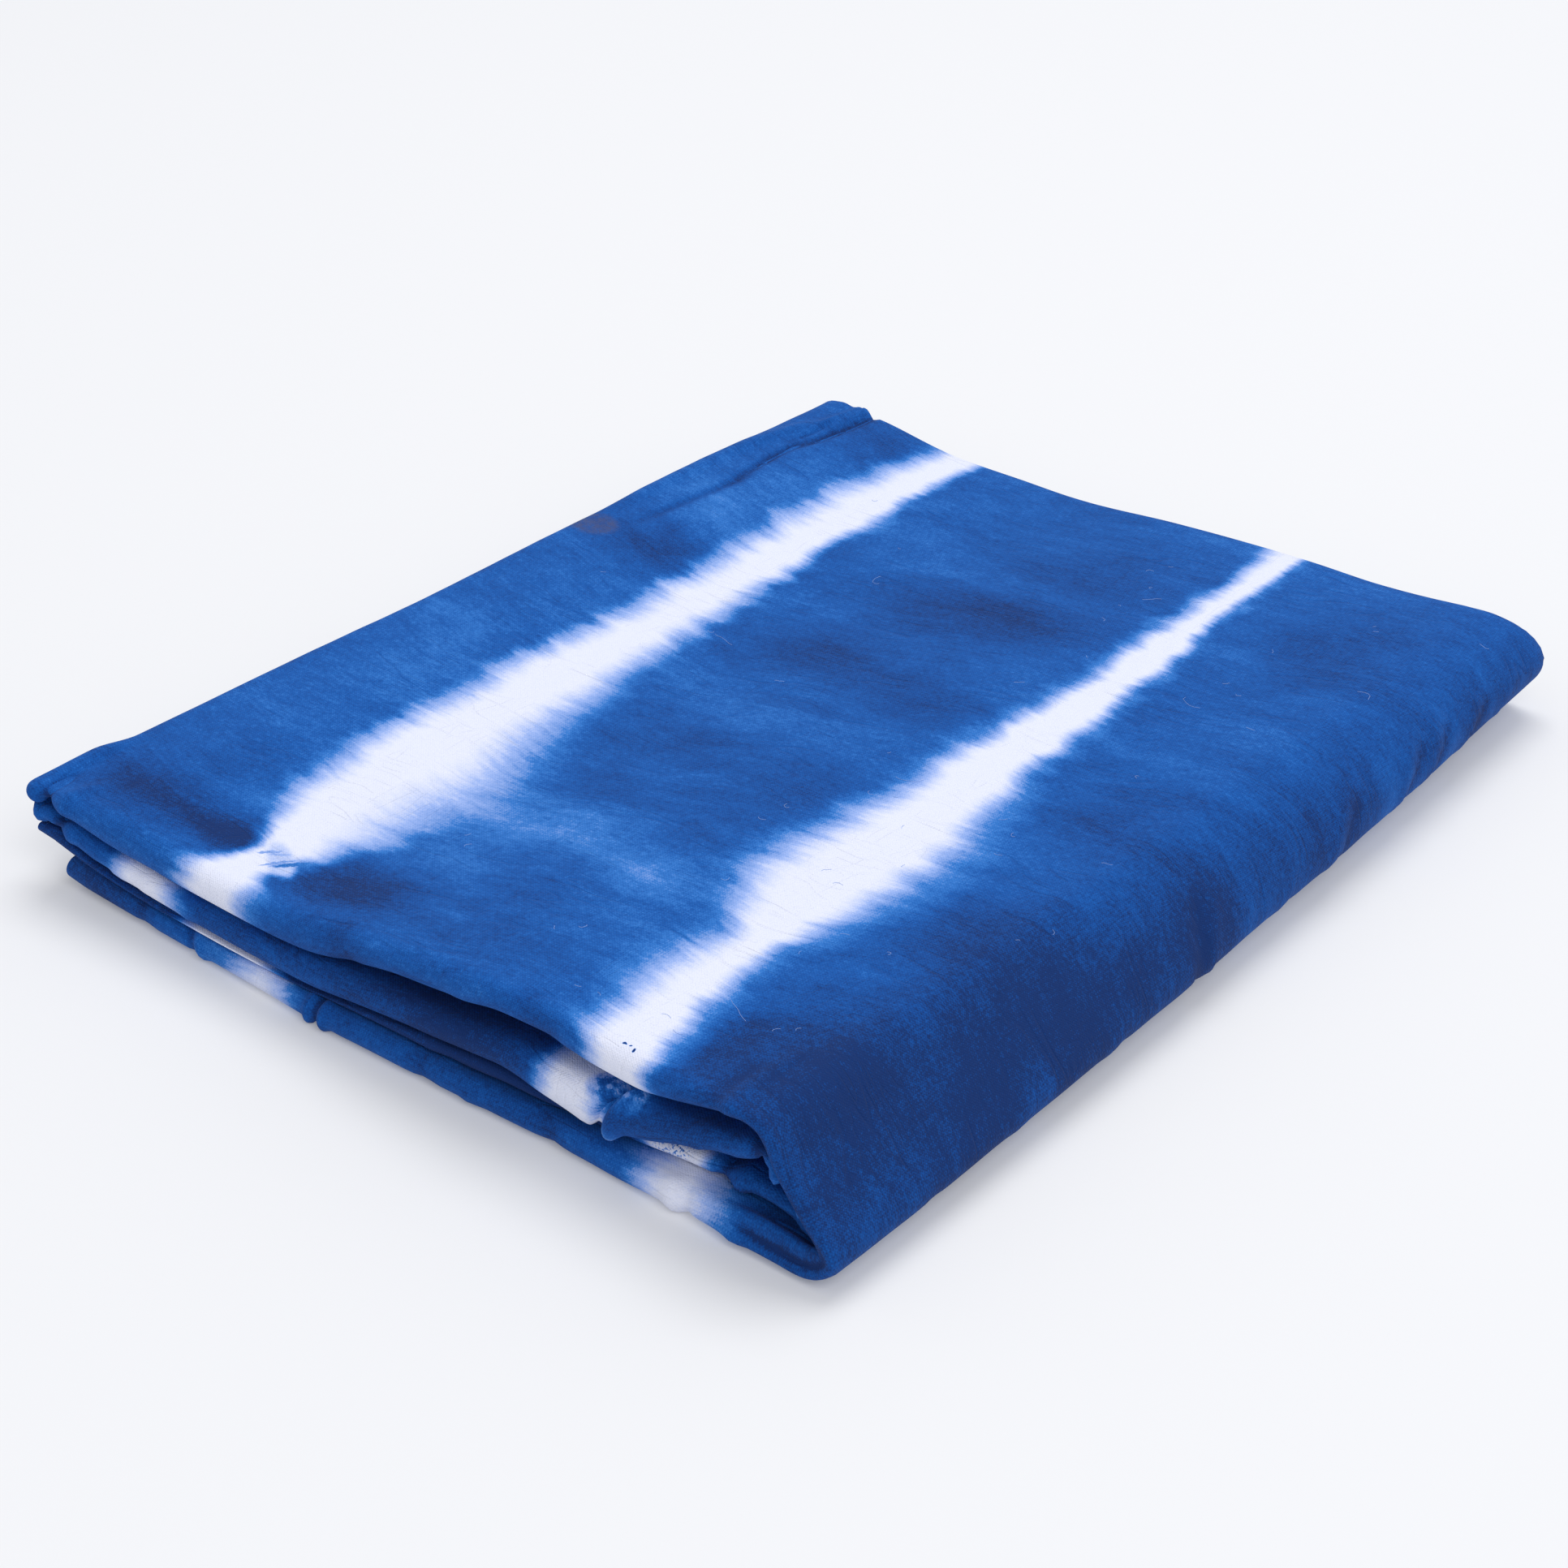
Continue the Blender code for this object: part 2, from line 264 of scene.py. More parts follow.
# A station and a row well inside the top layer's upper ply, where outwards is up
UPWARD_STATION = 10
UPWARD_ROW = 20
TINY = 1e-12

# The sheet's lowest points lie this high, half the sheet's own thickness
LOWEST_POINT = 0.2 * MM

# Where a layer's steps stand closer together: place and reach in mm, and how much
Detail = namedtuple("Detail", "layer x reach weight")
DETAILS = table(
    Detail,
    (BASE, -30, 9, 4.0),
    (BASE, -82, 7, 2.0),
    (BASE, 96, 14, 1.5),
    (SECOND, 74, 10, 2.5),
    (SECOND, -140, 10, 2.0),
    (TOP, -140, 10, 2.0),
    (THIRD, 104, 16, 2.0),
)

# Shares of its length over which a crease fades in and out
CREASE_START_FADE = 0.25
CREASE_END_FADE = 0.35

# Creases and tucks, listed one by one. The place is a layer, with x in mm, or a fold,
# with the share of its turn; v is in mm round the lip, behind it on the first ply.
# A height above 0 is a ridge, and below 0 a trough
Crease = namedtuple(
    "Crease", "place start_x start_v end_x end_v bow width height end_place", defaults=(None,))
CREASES = (
    *placed(
        Crease, "top",
        # The hem's ridges and the troughs beside them at the far left corner
        (-129, 380, -135.5, 332, 1.5, 2.8, 2.3),
        (-135, 346, -143, 292, -1.5, 2.8, 1.7),
        (-142, 308, -143, 236, 0.0, 2.8, 0.9),
        (-125, 378, -129.8, 316, 1.5, 1.5, -1.5),
        (-130, 336, -125.6, 280, -1.5, 1.5, -1.2),
        (-125.4, 302, -130, 234, 0.0, 1.9, -0.8),
        (-130.4, 372, -134, 318, 1.0, 0.9, -0.9),
        (-134, 372, -140, 356, 0.0, 4.0, 1.2),
        # The near corner of the top layer, over the outer fold
        (116, -6, 121, 34, 2.0, 2.6, 1.3),
        (110, -5, 114, 30, 2.0, 3.0, -0.7),
        (92, 2, 98, 46, -2.0, 6.0, -0.5),
        # Soft dents and a swell along the top layer's lip
        (60, -4, 40, 8, 0.0, 6.0, -0.6),
        (20, -5, 34, 10, 0.0, 7.0, 0.5),
        (-12, -5, -30, 8, 0.0, 6.0, -0.6),
        # Shallow creases of the top
        (-60, 12, -108, 26, 2.0, 3.0, -0.35),
        (30, 300, 70, 318, 0.0, 2.6, 0.25),
        (-128, 250, -96, 236, 0.0, 2.4, -0.25),
        (-120, 276, -88, 258, 0.0, 2.2, -0.25),
        (-40, 180, 20, 172, 3.0, 5.0, -0.3),
        (78, 120, 112, 132, 3.0, 3.5, -0.3),
    ),
    *placed(
        Crease, "left fold",
        # The front left corner: its point, the dent beside it, and the roll's plies
        (0.20, -9, 0.10, 40, 0.0, 2.2, 2.2),
        (0.50, -9, 0.48, 60, 0.0, 1.5, -1.9),
        (0.78, -9, 0.76, 44, 0.0, 1.8, 1.2),
    ),
    *placed(
        Crease, "top",
        # Beside that corner, on the top layer
        (-138.5, -8, -141, 16, 0.0, 2.0, -1.8),
        (-134, -6, -128, 18, 0.0, 3.0, 1.0),
    ),
    *placed(
        Crease, "base",
        # Tucks on the lip of the lowest layer
        (-33.5, -9, -34.5, 9, 0.8, 1.5, 1.3),
        (-30.6, -9, -31.6, 9, 0.5, 1.1, -1.1),
        (-27.6, -9, -28.2, 9, 0.5, 1.6, 1.2),
        (-85, -8, -80, 8, 0.5, 1.5, -1.0),
        (-81.5, -8, -76, 8, 0.5, 1.8, 0.8),
        (-105, -8, -101, 8, 0.0, 2.2, -0.6),
        (6, -8, 12, 8, 0.0, 3.0, -0.6),
        (24, -8, 27, 8, 0.0, 2.6, 0.6),
        (50, -8, 56, 8, 0.0, 3.0, -0.6),
        (92, -8, 95, 8, 0.5, 2.6, 1.1),
        (97, -8, 99, 8, 0.5, 1.6, -0.9),
        (112, -8, 116, 8, 0.0, 2.6, 0.7),
    ),
    *placed(
        Crease, "second",
        # The second layer: the fold that starts at the white patch's corner, and tucks
        (66, 14, 83, -22, 1.5, 1.5, -3.0),
        (70, 14, 88, -22, 1.5, 2.6, 2.4),
        (-138, 5, -134, -10, 0.0, 1.8, -1.2),
        (-133, 5, -128, -10, 0.0, 2.0, 0.9),
        (-119, 5, -113, -9, 0.0, 2.4, -0.7),
        (-107, 5, -101, -9, 0.0, 2.2, -0.6),
        (-84, 5, -80, -9, 0.0, 2.6, 0.5),
        (100, 5, 106, -9, 0.0, 3.0, 0.8),
    ),
    *placed(
        Crease, "third",
        # The third layer: the ridges of the pocket at the near corner
        (110, -8, 113, 12, 1.0, 2.0, 1.6),
        (104, -8, 107, 12, 1.0, 2.0, -1.0),
        (6, -6, 10, 8, 0.0, 2.6, 0.8),
        (24, -6, 28, 8, 0.0, 2.6, 0.8),
        (60, -6, 64, 8, 0.0, 3.0, -0.7),
    ),
    *placed(
        Crease, "inner fold",
        # The inner fold at the near corner, crumpled
        (0.16, -10, 0.20, 26, 1.0, 1.5, -1.4),
        (0.30, -12, 0.34, 26, 1.5, 1.7, 2.3),
        (0.42, -12, 0.46, 22, -1.0, 1.4, -2.0),
        (0.55, -12, 0.52, 30, 1.0, 1.7, 2.4),
        (0.68, -12, 0.72, 22, 1.0, 1.4, -2.0),
        (0.82, -12, 0.80, 26, 1.0, 1.6, 1.8),
    ),
    *placed(
        Crease, "base",
        # The folds that converge at the near corner, along the lip into the outer fold
        (94, -2.4, 0.52, -0.6, 0.0, 1.5, -1.3, "outer fold"),
        (98, 0.6, 0.56, 1.8, 0.0, 1.6, 0.9, "outer fold"),
        (108, -6.0, 0.50, -3.2, 0.6, 1.8, 2.0, "outer fold"),
        (112, -10.4, 0.44, -7.2, 0.6, 2.4, -1.2, "outer fold"),
    ),
    *placed(
        Crease, "outer fold",
        # Pleats of the outer fold: one crease half way, and small ones towards the back
        (0.20, 158, 0.66, 170, 4.0, 1.6, -1.2),
        (0.20, 163, 0.62, 176, 4.0, 2.0, 0.8),
        (0.26, 266, 0.62, 282, 2.0, 2.4, 0.75),
        (0.26, 272, 0.58, 288, 2.0, 1.9, -0.8),
        (0.28, 284, 0.66, 300, 2.0, 2.4, 0.7),
        (0.28, 290, 0.60, 305, 2.0, 1.8, -0.75),
        (0.28, 308, 0.60, 322, 2.0, 2.4, 0.65),
        (0.28, 314, 0.56, 327, 2.0, 1.9, -0.65),
        (0.30, 332, 0.56, 344, 2.0, 2.4, 0.5),
        (0.24, 226, 0.60, 244, 3.0, 2.8, 0.6),
        (0.24, 233, 0.56, 250, 3.0, 2.2, -0.65),
        (0.12, 196, 0.44, 210, 3.0, 2.4, 0.35),
        (0.12, 202, 0.44, 216, 3.0, 2.0, -0.4),
        (0.10, 112, 0.42, 122, 2.0, 2.4, 0.35),
        (0.10, 118, 0.40, 128, 2.0, 2.0, -0.35),
        (0.10, 72, 0.40, 80, 2.0, 2.6, 0.3),
        (0.10, 40, 0.44, 46, 2.0, 2.6, -0.3),
    ),
)

# The white bands of the top layer at sections along the folds, mm: the middle
# and half width of each band, how far its left and right edges feather, and how
# far the azure beside them reaches
Band = namedtuple(
    "Band", "y middle half left_feather right_feather left_halo right_halo")
LEFT_BAND = table(
    Band,
    (-182, -70.0, 10.4, 7.0, 6.0, 8, 10),
    (-170, -68.4, 7.6, 4.0, 4.0, 5, 4),
    (-160, -65.6, 6.2, 2.5, 4.0, 2, 4),
    (-154, -65.6, 9.0, 3.5, 7.0, 3, 6),
    (-138, -68.0, 14.6, 7.0, 16.0, 7, 15),
    (-104, -69.5, 19.0, 8.0, 20.0, 9, 34),
    (-66, -74.3, 14.6, 8.0, 12.0, 8, 17),
    (-20, -77.0, 11.6, 8.0, 8.0, 7, 10),
    (40, -79.0, 9.2, 8.0, 7.0, 5, 6),
    (90, -82.0, 9.6, 9.0, 4.0, 9, 4),
    (140, -82.4, 8.6, 8.0, 4.0, 8, 3),
    (181, -80.0, 6.8, 6.0, 3.5, 7, 3),
)
RIGHT_BAND = table(
    Band,
    (-182, 78.0, 8.0, 6.0, 4.0, 6, 5),
    (-168, 76.4, 8.8, 6.0, 4.5, 12, 8),
    (-150, 72.4, 9.8, 8.0, 4.5, 14, 9),
    (-136, 71.6, 7.4, 9.0, 4.5, 16, 8),
    (-122, 72.4, 4.8, 6.0, 3.5, 14, 8),
    (-104, 68.4, 12.0, 10.0, 6.0, 16, 12),
    (-88, 67.2, 15.6, 11.0, 7.0, 18, 18),
    (-52, 68.4, 13.6, 9.0, 7.5, 13, 16),
    (0, 63.8, 9.2, 5.0, 4.5, 8, 9),
    (52, 62.8, 6.8, 4.0, 3.5, 6, 6),
    (120, 57.2, 4.8, 5.0, 2.5, 5, 3),
    (181, 54.6, 3.4, 5.0, 2.5, 4, 3),
)

# The bands of the other layers, seen at their lips: middle and half width, mm
LipBand = namedtuple("LipBand", "layer middle half feather halo")
LIP_BANDS = table(
    LipBand,
    # The lowest layer's left band is narrow with a wide feather, so its white is greyed: partly the
    # band's soft edge and partly painted shade under the lips above
    (BASE, -53.0, 5.0, 15.0, 8),
    (BASE, 94.0, 8.5, 8.0, 9),
    (SECOND, -101.0, 9.0, 7.0, 8),
    (SECOND, 60.0, 9.0, 5.0, 4),
    (THIRD, -68.0, 15.0, 7.0, 6),
    (THIRD, 89.5, 8.5, 3.0, 3),
)

# They drift a little to the side away from the lip: how far in mm, in what waves,
# and the way from the lip in metres until they do so fully
LIP_BAND_DRIFT = 4.0
LIP_BAND_WAVES = 22.0
LIP_BAND_START = 0.03

# The dye where no band is near: distance into a band, feather, halo in mm, and tone
FAR_OUTSIDE = -80.0
PLAIN_FEATHER = 5.0
PLAIN_HALO = 8.0
PLAIN_TONE = 0.7

# Depth of the blue in soft patches: 1 is navy and 0.4 azure. Place, with x in mm or
# a fold's share, v in mm, reach along and across, and what is added to the depth
Patch = namedtuple("Patch", "place x v reach_x reach_v change")
PATCHES = (
    *placed(
        Patch, "top",
        (-114, 23, 26, 9, 0.32),
        (-80, 24, 13, 7, 0.40),
        (-130, 12, 16, 12, 0.10),
        (-116, 44, 22, 12, 0.02),
        (-36, 24, 22, 11, 0.32),
        (22, 21, 24, 10, 0.18),
        (-18, 46, 16, 9, -0.12),
        (12, 46, 18, 14, 0.10),
        (-34, 56, 20, 14, -0.10),
        (-12, 76, 26, 16, -0.18),
        (-22, 106, 20, 16, 0.10),
        (22, 104, 16, 16, 0.06),
        (28, 68, 14, 10, -0.16),
        (-28, 134, 20, 14, 0.14),
        (22, 140, 26, 18, 0.08),
        (-14, 164, 26, 12, -0.06),
        (24, 200, 30, 20, 0.14),
        (-26, 214, 24, 20, 0.16),
        (-116, 112, 24, 24, -0.02),
        (-122, 138, 22, 20, -0.08),
        (-118, 274, 18, 16, -0.08),
        (-116, 196, 22, 16, -0.02),
        (-112, 232, 18, 14, 0.16),
        (-108, 290, 22, 24, -0.06),
        (-110, 346, 26, 12, 0.12),
        (0, 260, 40, 24, 0.22),
        (6, 316, 34, 22, 0.14),
        (102, 44, 18, 26, 0.06),
        (116, 14, 20, 18, 0.20),
        (104, 96, 18, 22, 0.10),
        (94, 124, 12, 12, -0.12),
        (104, 178, 16, 24, 0.16),
        (100, 300, 22, 40, 0.13),
    ),
    *placed(
        # On the outer fold the deeper patches are partly uneven dye and partly painted shade of its
        # side and near corner
        Patch, "outer fold",
        (0.80, 34, 22, 20, 0.24),
        (0.55, 8, 30, 24, 0.14),
        (0.25, 50, 20, 50, 0.16),
        (0.6, 92, 28, 34, 0.34),
        (0.45, 160, 24, 30, 0.30),
        (0.4, 236, 22, 26, 0.14),
        (0.3, 310, 20, 30, 0.12),
        (0.34, 84, 16, 9, -0.16),
        (0.40, 184, 16, 7, -0.13),
        (0.40, 232, 16, 6, -0.13),
        (0.40, 262, 16, 6, -0.13),
        (0.40, 300, 14, 6, -0.12),
    ),
    *placed(
        Patch, "base",
        (-122, 0, 20, 30, 0.28),
        (-72, 0, 9, 30, -0.10),
        (-30, 0, 10, 30, 0.12),
        (-8, 0, 22, 30, 0.04),
        (40, 0, 24, 30, 0.10),
        (130, 0, 12, 30, 0.08),
    ),
    *placed(
        Patch, "second",
        (-134, 0, 14, 20, -0.08),
        (-60, 0, 30, 20, 0.10),
        (16, 0, 38, 20, 0.28),
        (104, 0, 22, 20, 0.16),
    ),
    *placed(
        Patch, "third",
        (-120, 0, 40, 30, 0.16),
        (30, 0, 60, 30, 0.34),
        (112, 0, 16, 30, -0.04),
    ),
)
# Depth of the blue of each layer and fold. The inner fold's is lighter: painted light on its plies
# in the shaded pocket at the near corner
BASE_TONE = {"base": 0.62, "top": 0.64, "second": 0.70, "third": 0.78,
             "outer fold": 0.76, "left fold": 0.70, "inner fold": 0.56}

# The second ply is a little deeper, and the troughs of the creases get painted shade, a deeper blue
# down to a depth in mm
SECOND_PLY_TONE = 0.04
TROUGH_SHADE_TONE = 0.26
DEEPEST_TROUGH = 1.4

# Noises of the flat cloth: cells along and across the strip in metres, shift, detail
# and roughness, weight in its sum, and whether the noise is folded up at 0
Cells = namedtuple("Cells", "along across shift detail roughness weight folded",
                   defaults=(1.0, 0.5, 1.0, False))
CELLS = {
    # Bends of the streaks, in metres
    "slow bend": Cells(0.060, 0.045, 61.0, weight=0.016),
    "quick bend": Cells(0.018, 0.020, 67.0, weight=0.0025),
    # The feathered edge of a band, as shares of its reach, and its wander in mm
    "tongue": Cells(0.080, 0.016, 7.0, weight=-2.1, folded=True),
    "tooth": Cells(0.036, 0.0052, 3.0, weight=-0.8, folded=True),
    "fringe": Cells(0.014, 0.0022, 43.0, 2.0, 0.6, 0.50),
    "fibre": Cells(0.006, 0.0009, 0.0, 2.0, 0.6),
    "wander": Cells(0.060, 0.030, 5.0, weight=5.0),
    # Lobes of azure beside a band, in mm
    "lobe": Cells(0.030, 0.012, 29.0, 2.0, 0.5, 12.0),
    # Shades of the dyed field
    "cloud": Cells(0.060, 0.030, 11.0, 3.0, 0.55, 0.30),
    "drift": Cells(0.034, 0.0075, 17.0, 3.0, 0.55, 0.18),
    "streak": Cells(0.016, 0.0014, 19.0, 2.0, 0.6, 0.12),
    "mottle": Cells(0.007, 0.005, 23.0, 4.0, 0.65, 0.20),
    # Uneven threads of the weave
    "weft thread": Cells(0.0024, 0.00045, 31.0),
    "warp thread": Cells(0.00045, 0.0020, 37.0),
    # Marks of the ties and the stain
    "ragged": Cells(0.0015, 0.0015, 71.0),
    "crumbs": Cells(0.0026, 0.0022, 73.0, 3.0, 0.65),
    "specks": Cells(0.0009, 0.0009, 79.0, 2.0, 0.6),
    "worn": Cells(0.0040, 0.0030, 83.0, 4.0, 0.7),
}
SHIFT_ACROSS = 1.7

# Fine creases of the pressed cotton: cells, width as a share of the noise, and weight.
# They come and go with a noise of their own
FineCrease = namedtuple("FineCrease", "cells width weight")
FINE_CREASES = (
    FineCrease(Cells(0.040, 0.0080, 41.0), 0.050, 1.0),
    FineCrease(Cells(0.018, 0.0042, 47.0), 0.050, 0.7),
    FineCrease(Cells(0.0065, 0.026, 53.0), 0.040, 0.6),
)
CREASE_PATCHES = (0.030, 0.022)
CREASE_PATCH_SHIFT = 5.0
CREASE_PATCH_RANGE = (-0.06, 0.16)

# The edge of a band: its rest, its reach in mm and per mm of feather, the fibres'
# share, where the dye starts and is full as shares of the feather, and its contrast
EDGE_REST = 0.28
EDGE_REACH = 2.7
EDGE_REACH_SHARE = 0.44
FIBRE_SHARE = 0.24
EDGE_START = -0.95
EDGE_FULL = 1.20
EDGE_CONTRAST = 1.15

# The azure beside a band: where it starts to deepen as a share of the halo, how far
# past the halo it is the field's blue, in mm, and its tone beside the field's
HALO_START = 0.30
HALO_MARGIN = 3.0
AZURE_SHARE = 0.45
AZURE_TONE = 0.16

# The plain weave: height and tint of the crossings, and height of uneven threads
CROSSING_HEIGHT = 0.5
CROSSING_TINT = 0.22
SLUB_HEIGHT = 1.2

# Marks of the ties and stitches: place in mm, half length and width, turn in
# degrees, the depth of blue there, and how soft the edge is
Mark = namedtuple("Mark", "x y half_length half_width turn depth edge", defaults=(None, 0.35))
TOP_MARKS = (
    Mark(-62.4, -161.4, 9.6, 3.6, -32, 0.13),
    Mark(-58.6, -161.0, 5.4, 0.9, 48, 0.48),
    Mark(-62.2, -162.6, 4.8, 0.7, 56, 0.30),
    Mark(-65.0, -159.4, 3.0, 0.6, 40, 0.22),
    Mark(-68.2, -160.4, 3.2, 0.7, 44, 0.28),
    Mark(77.6, -176.7, 0.60, 0.38, 10, 0.95),
    Mark(79.3, -176.4, 0.40, 0.30, 30, 0.8),
    Mark(80.9, -177.1, 0.50, 0.38, 80, 0.95),
)
RAGGED_REACH = 1.0 * MM
# A gathered spot under the right band, with crumbs of dye from pale to deep
PUCKER = Mark(75.0, -175.6, 9.0, 5.0, 0)
CRUMB_RANGE = (-0.20, 0.20, 0.30, 0.74)
# Specks on the lip below it, by x and z
SPECKLED = Mark(88.5, 12.4, 6.0, 2.6, 20, edge=0.3)
SPECK_RANGE = (0.0, 0.16, 0.0, 0.42)
# A faded brownish stain near the left edge, and how it is worn
STAIN = Mark(-135.8, 46.5, 9.0, 7.0, 4, edge=0.22)
WORN_RANGE = (-0.20, 0.12, 0.35, 1.0)
STAIN_SHARE = 0.75

# Soft steps in metres that keep a mark on its own ply: the z, or the y at the lip,
# where it starts and where it is full
TOP_PLY = (0.026, 0.028)
NEAR_LIP = (-0.160, -0.168)
PUCKER_BELOW = (0.0306, 0.0300)
PUCKER_ABOVE = (0.0215, 0.0245)
SPECKS_ABOVE = (0.0106, 0.0112)

# The cotton: what its threads add to the colour and the painted shade that its fine creases add,
# per depth of blue, and their relief in metres
THREAD_TINT = 0.32
UNDYED_THREAD_TINT = 0.035
FINE_CREASE_SHADE = 0.07
THREAD_RELIEF = 0.00008
CREASE_RELIEF = -0.00018
COTTON_SURFACE = {"Roughness": 0.9, "Specular IOR Level": 0.12,
                  "Sheen Weight": 0.03, "Sheen Roughness": 0.5}
DYE_STOPS = (("undyed", 0.0), ("pale", 0.20), ("azure", 0.44),
             ("indigo", 0.62), ("deep", 0.80), ("navy", 1.0))

# The camera, fitted to the corners of the bundle: metres, radians and pixels
CAMERA_PLACE = (0.460254, -0.588515, 0.456185)
CAMERA_PITCH = 0.545764
CAMERA_HEADING = 0.680094
CAMERA_FOCAL = 3533.80757
SENSOR_WIDTH = 36.0
CLIP_START = 0.01

# The soft lights: size, and places from the bundle's middle
SOFTBOX_SIZE = (2.4, 2.0)
KEY_PLACE = (-0.5, 1.2, 3.4)
FILL_PLACE = (2.2, -1.3, 2.8)
SKY_COLOUR = (0.955, 0.965, 1.0, 1.0)

# Fibres of lint: one in nine is long, and one in four lies on the left of the top.
# Ranges of X and Y, and of the length, in metres
LINT_SEED = 11
LONG_FIBRE_STEP = 9
LEFT_FIBRE_STEP = 4
RIGHT_LINT = ((0.025, 0.138), (-0.17, 0.16))
LEFT_LINT = ((-0.125, 0.04), (-0.165, 0.16))
LONG_FIBRE = (0.006, 0.010)
SHORT_FIBRE = (0.0012, 0.0038)
FIBRE_POINTS = 7
FIBRE_CURL = 0.5
ABOVE_CLOTH = 0.08
LINT_LIFT = 0.05 * MM


def srgb(red, green, blue):
    """A display colour as the linear colour that a shader takes."""
    linear = [c / 12.92 if c <= 0.04045 else ((c + 0.055) / 1.055) ** 2.4
              for c in (red, green, blue)]
    return (*linear, 1.0)


def colour(name, description, default):
    """A colour that the user may change."""
    return bpy.props.FloatVectorProperty(
        name=name, description=description, subtype="COLOR", size=4, default=default,
        min=0.0, max=1.0)


class ShiboriCloth(bpy.types.PropertyGroup):
    """Sizes and colours of the cloth."""

    crease_depth: bpy.props.FloatProperty(
        name="Crease depth", description="How deep the creases are, as a share of the placed depth",
        default=1.0, min=0.0, max=2.0)
    ripple_height: bpy.props.FloatProperty(
        name="Ripple height", description="Height of the soft ripples of the sheet",
        default=0.35 * MM, min=0.0, max=2.0 * MM, unit="LENGTH")
    thread_pitch: bpy.props.FloatProperty(
        name="Thread pitch", description="Distance between threads of the plain weave",
        default=THREAD_PITCH, min=0.1 * MM, max=2.0 * MM, unit="LENGTH")
    inner_pairs: bpy.props.IntProperty(
        name="Inner pairs", description="Pairs of plies between the outer ones of each layer",
        default=3, min=0, max=5)
    lint_count: bpy.props.IntProperty(
        name="Lint", description="Number of short fibres lying on the cloth",
        default=60, min=1, max=400)
    lint_width: bpy.props.FloatProperty(
        name="Lint width", description="Thickness of a fibre of lint",
        default=0.11 * MM, min=0.01 * MM, max=1.0 * MM, unit="LENGTH")
    lint_colour: colour("Lint colour", "Pale fibres", srgb(0.60, 0.70, 0.90))
    undyed: colour("Undyed", "Cotton where the resist kept the dye off", srgb(0.885, 0.90, 0.965))
    pale: colour("Pale blue", "Feathered edge of the resist bands", srgb(0.60, 0.70, 0.92))
    azure: colour("Azure", "Lightest of the dyed field, beside the bands", srgb(0.20, 0.47, 0.79))
    indigo: colour("Indigo", "Middle of the dyed field", srgb(0.085, 0.35, 0.67))
    deep: colour("Deep indigo", "Deeper parts of the dyed field", srgb(0.06, 0.28, 0.57))
    navy: colour("Navy", "Deepest of the dye", srgb(0.07, 0.19, 0.41))
    stain: colour("Stain", "Faded brownish stain near the left edge", srgb(0.27, 0.31, 0.47))


class ShiboriStage(bpy.types.PropertyGroup):
    """Floor, light and camera."""

    floor_size: bpy.props.FloatProperty(
        name="Floor", description="Side of the square floor", default=9.0, min=1.0, unit="LENGTH")
    floor_colour: colour("Floor colour", "Pale plain floor", (0.69, 0.695, 0.71, 1.0))
    floor_glow: bpy.props.FloatProperty(
        name="Floor glow", description="Light that comes through the pale floor",
        default=0.20, min=0.0)
    sky_strength: bpy.props.FloatProperty(
        name="Soft light", description="Strength of the light from all round",
        default=0.57, min=0.0)
    key_power: bpy.props.FloatProperty(
        name="Main light", description="Power of the large soft light at the back left",
        default=62.0, min=0.0, unit="POWER")
    fill_power: bpy.props.FloatProperty(
        name="Fill light", description="Power of the large soft light at the front right",
        default=44.0, min=0.0, unit="POWER")


def between(start, end, share):
    """A value at a share of the way from start to end."""
    return start + (end - start) * share


def smooth(value):
    """A soft step from 0 to 1."""
    value = np.clip(value, 0.0, 1.0)
    return value * value * (3.0 - 2.0 * value)


def curve_point(share, span, start, start_way, end, end_way):
    """A point of the curve that leaves start and reaches end in the given ways."""
    square = share * share
    cube = square * share
    return ((2 * cube - 3 * square + 1) * start
            + (cube - 2 * square + share) * span * start_way
            + (3 * square - 2 * cube) * end
            + (cube - square) * span * end_way)


def curve_heading(share, span, start, start_way, end, end_way):
    """The unit way of the same curve at a share of it."""
    square = share * share
    heading = ((6 * square - 6 * share) / span * start
               + (3 * square - 4 * share + 1) * start_way
               + (6 * share - 6 * square) / span * end
               + (3 * square - 2 * share) * end_way)
    return heading / np.linalg.norm(heading, axis=1, keepdims=True)


def column_value(sections, column, x):
    """Heights of a section table at x along a smooth curve, mm."""
    places = np.array([row.x for row in sections], float)
    heights = np.array([getattr(row, column) for row in sections], float)
    slopes = np.empty_like(heights)
    slopes[1:-1] = (heights[2:] - heights[:-2]) / (places[2:] - places[:-2])
    slopes[0] = (heights[1] - heights[0]) / (places[1] - places[0])
    slopes[-1] = (heights[-1] - heights[-2]) / (places[-1] - places[-2])
    x = np.clip(x, places[0], places[-1])
    index = np.clip(np.searchsorted(places, x, side="right") - 1, 0, len(places) - 2)
    span = places[index + 1] - places[index]
    return curve_point((x - places[index]) / span, span, heights[index], slopes[index],
                       heights[index + 1], slopes[index + 1])


def height(column, x, back):
    """Height of a layer's outer face, metres. The lowest layer's lower face is at 0."""
    if column is None:
        return np.zeros_like(back)
    front_height, back_height, lip_height = [
        column_value(sections, column, x)
        for sections in (FRONT_SECTIONS, BACK_SECTIONS, LIP_SECTIONS)]
    near = 1.0 - smooth(back * BUNDLE_LENGTH / LIP_REACH)
    return (between(front_height, back_height, back) + (lip_height - front_height) * near) * MM


def end_share(distance):
    """The plies close up towards the strip's two free ends."""
    return END_THICKNESS + (1.0 - END_THICKNESS) * np.sqrt(smooth(distance / END_TAPER))


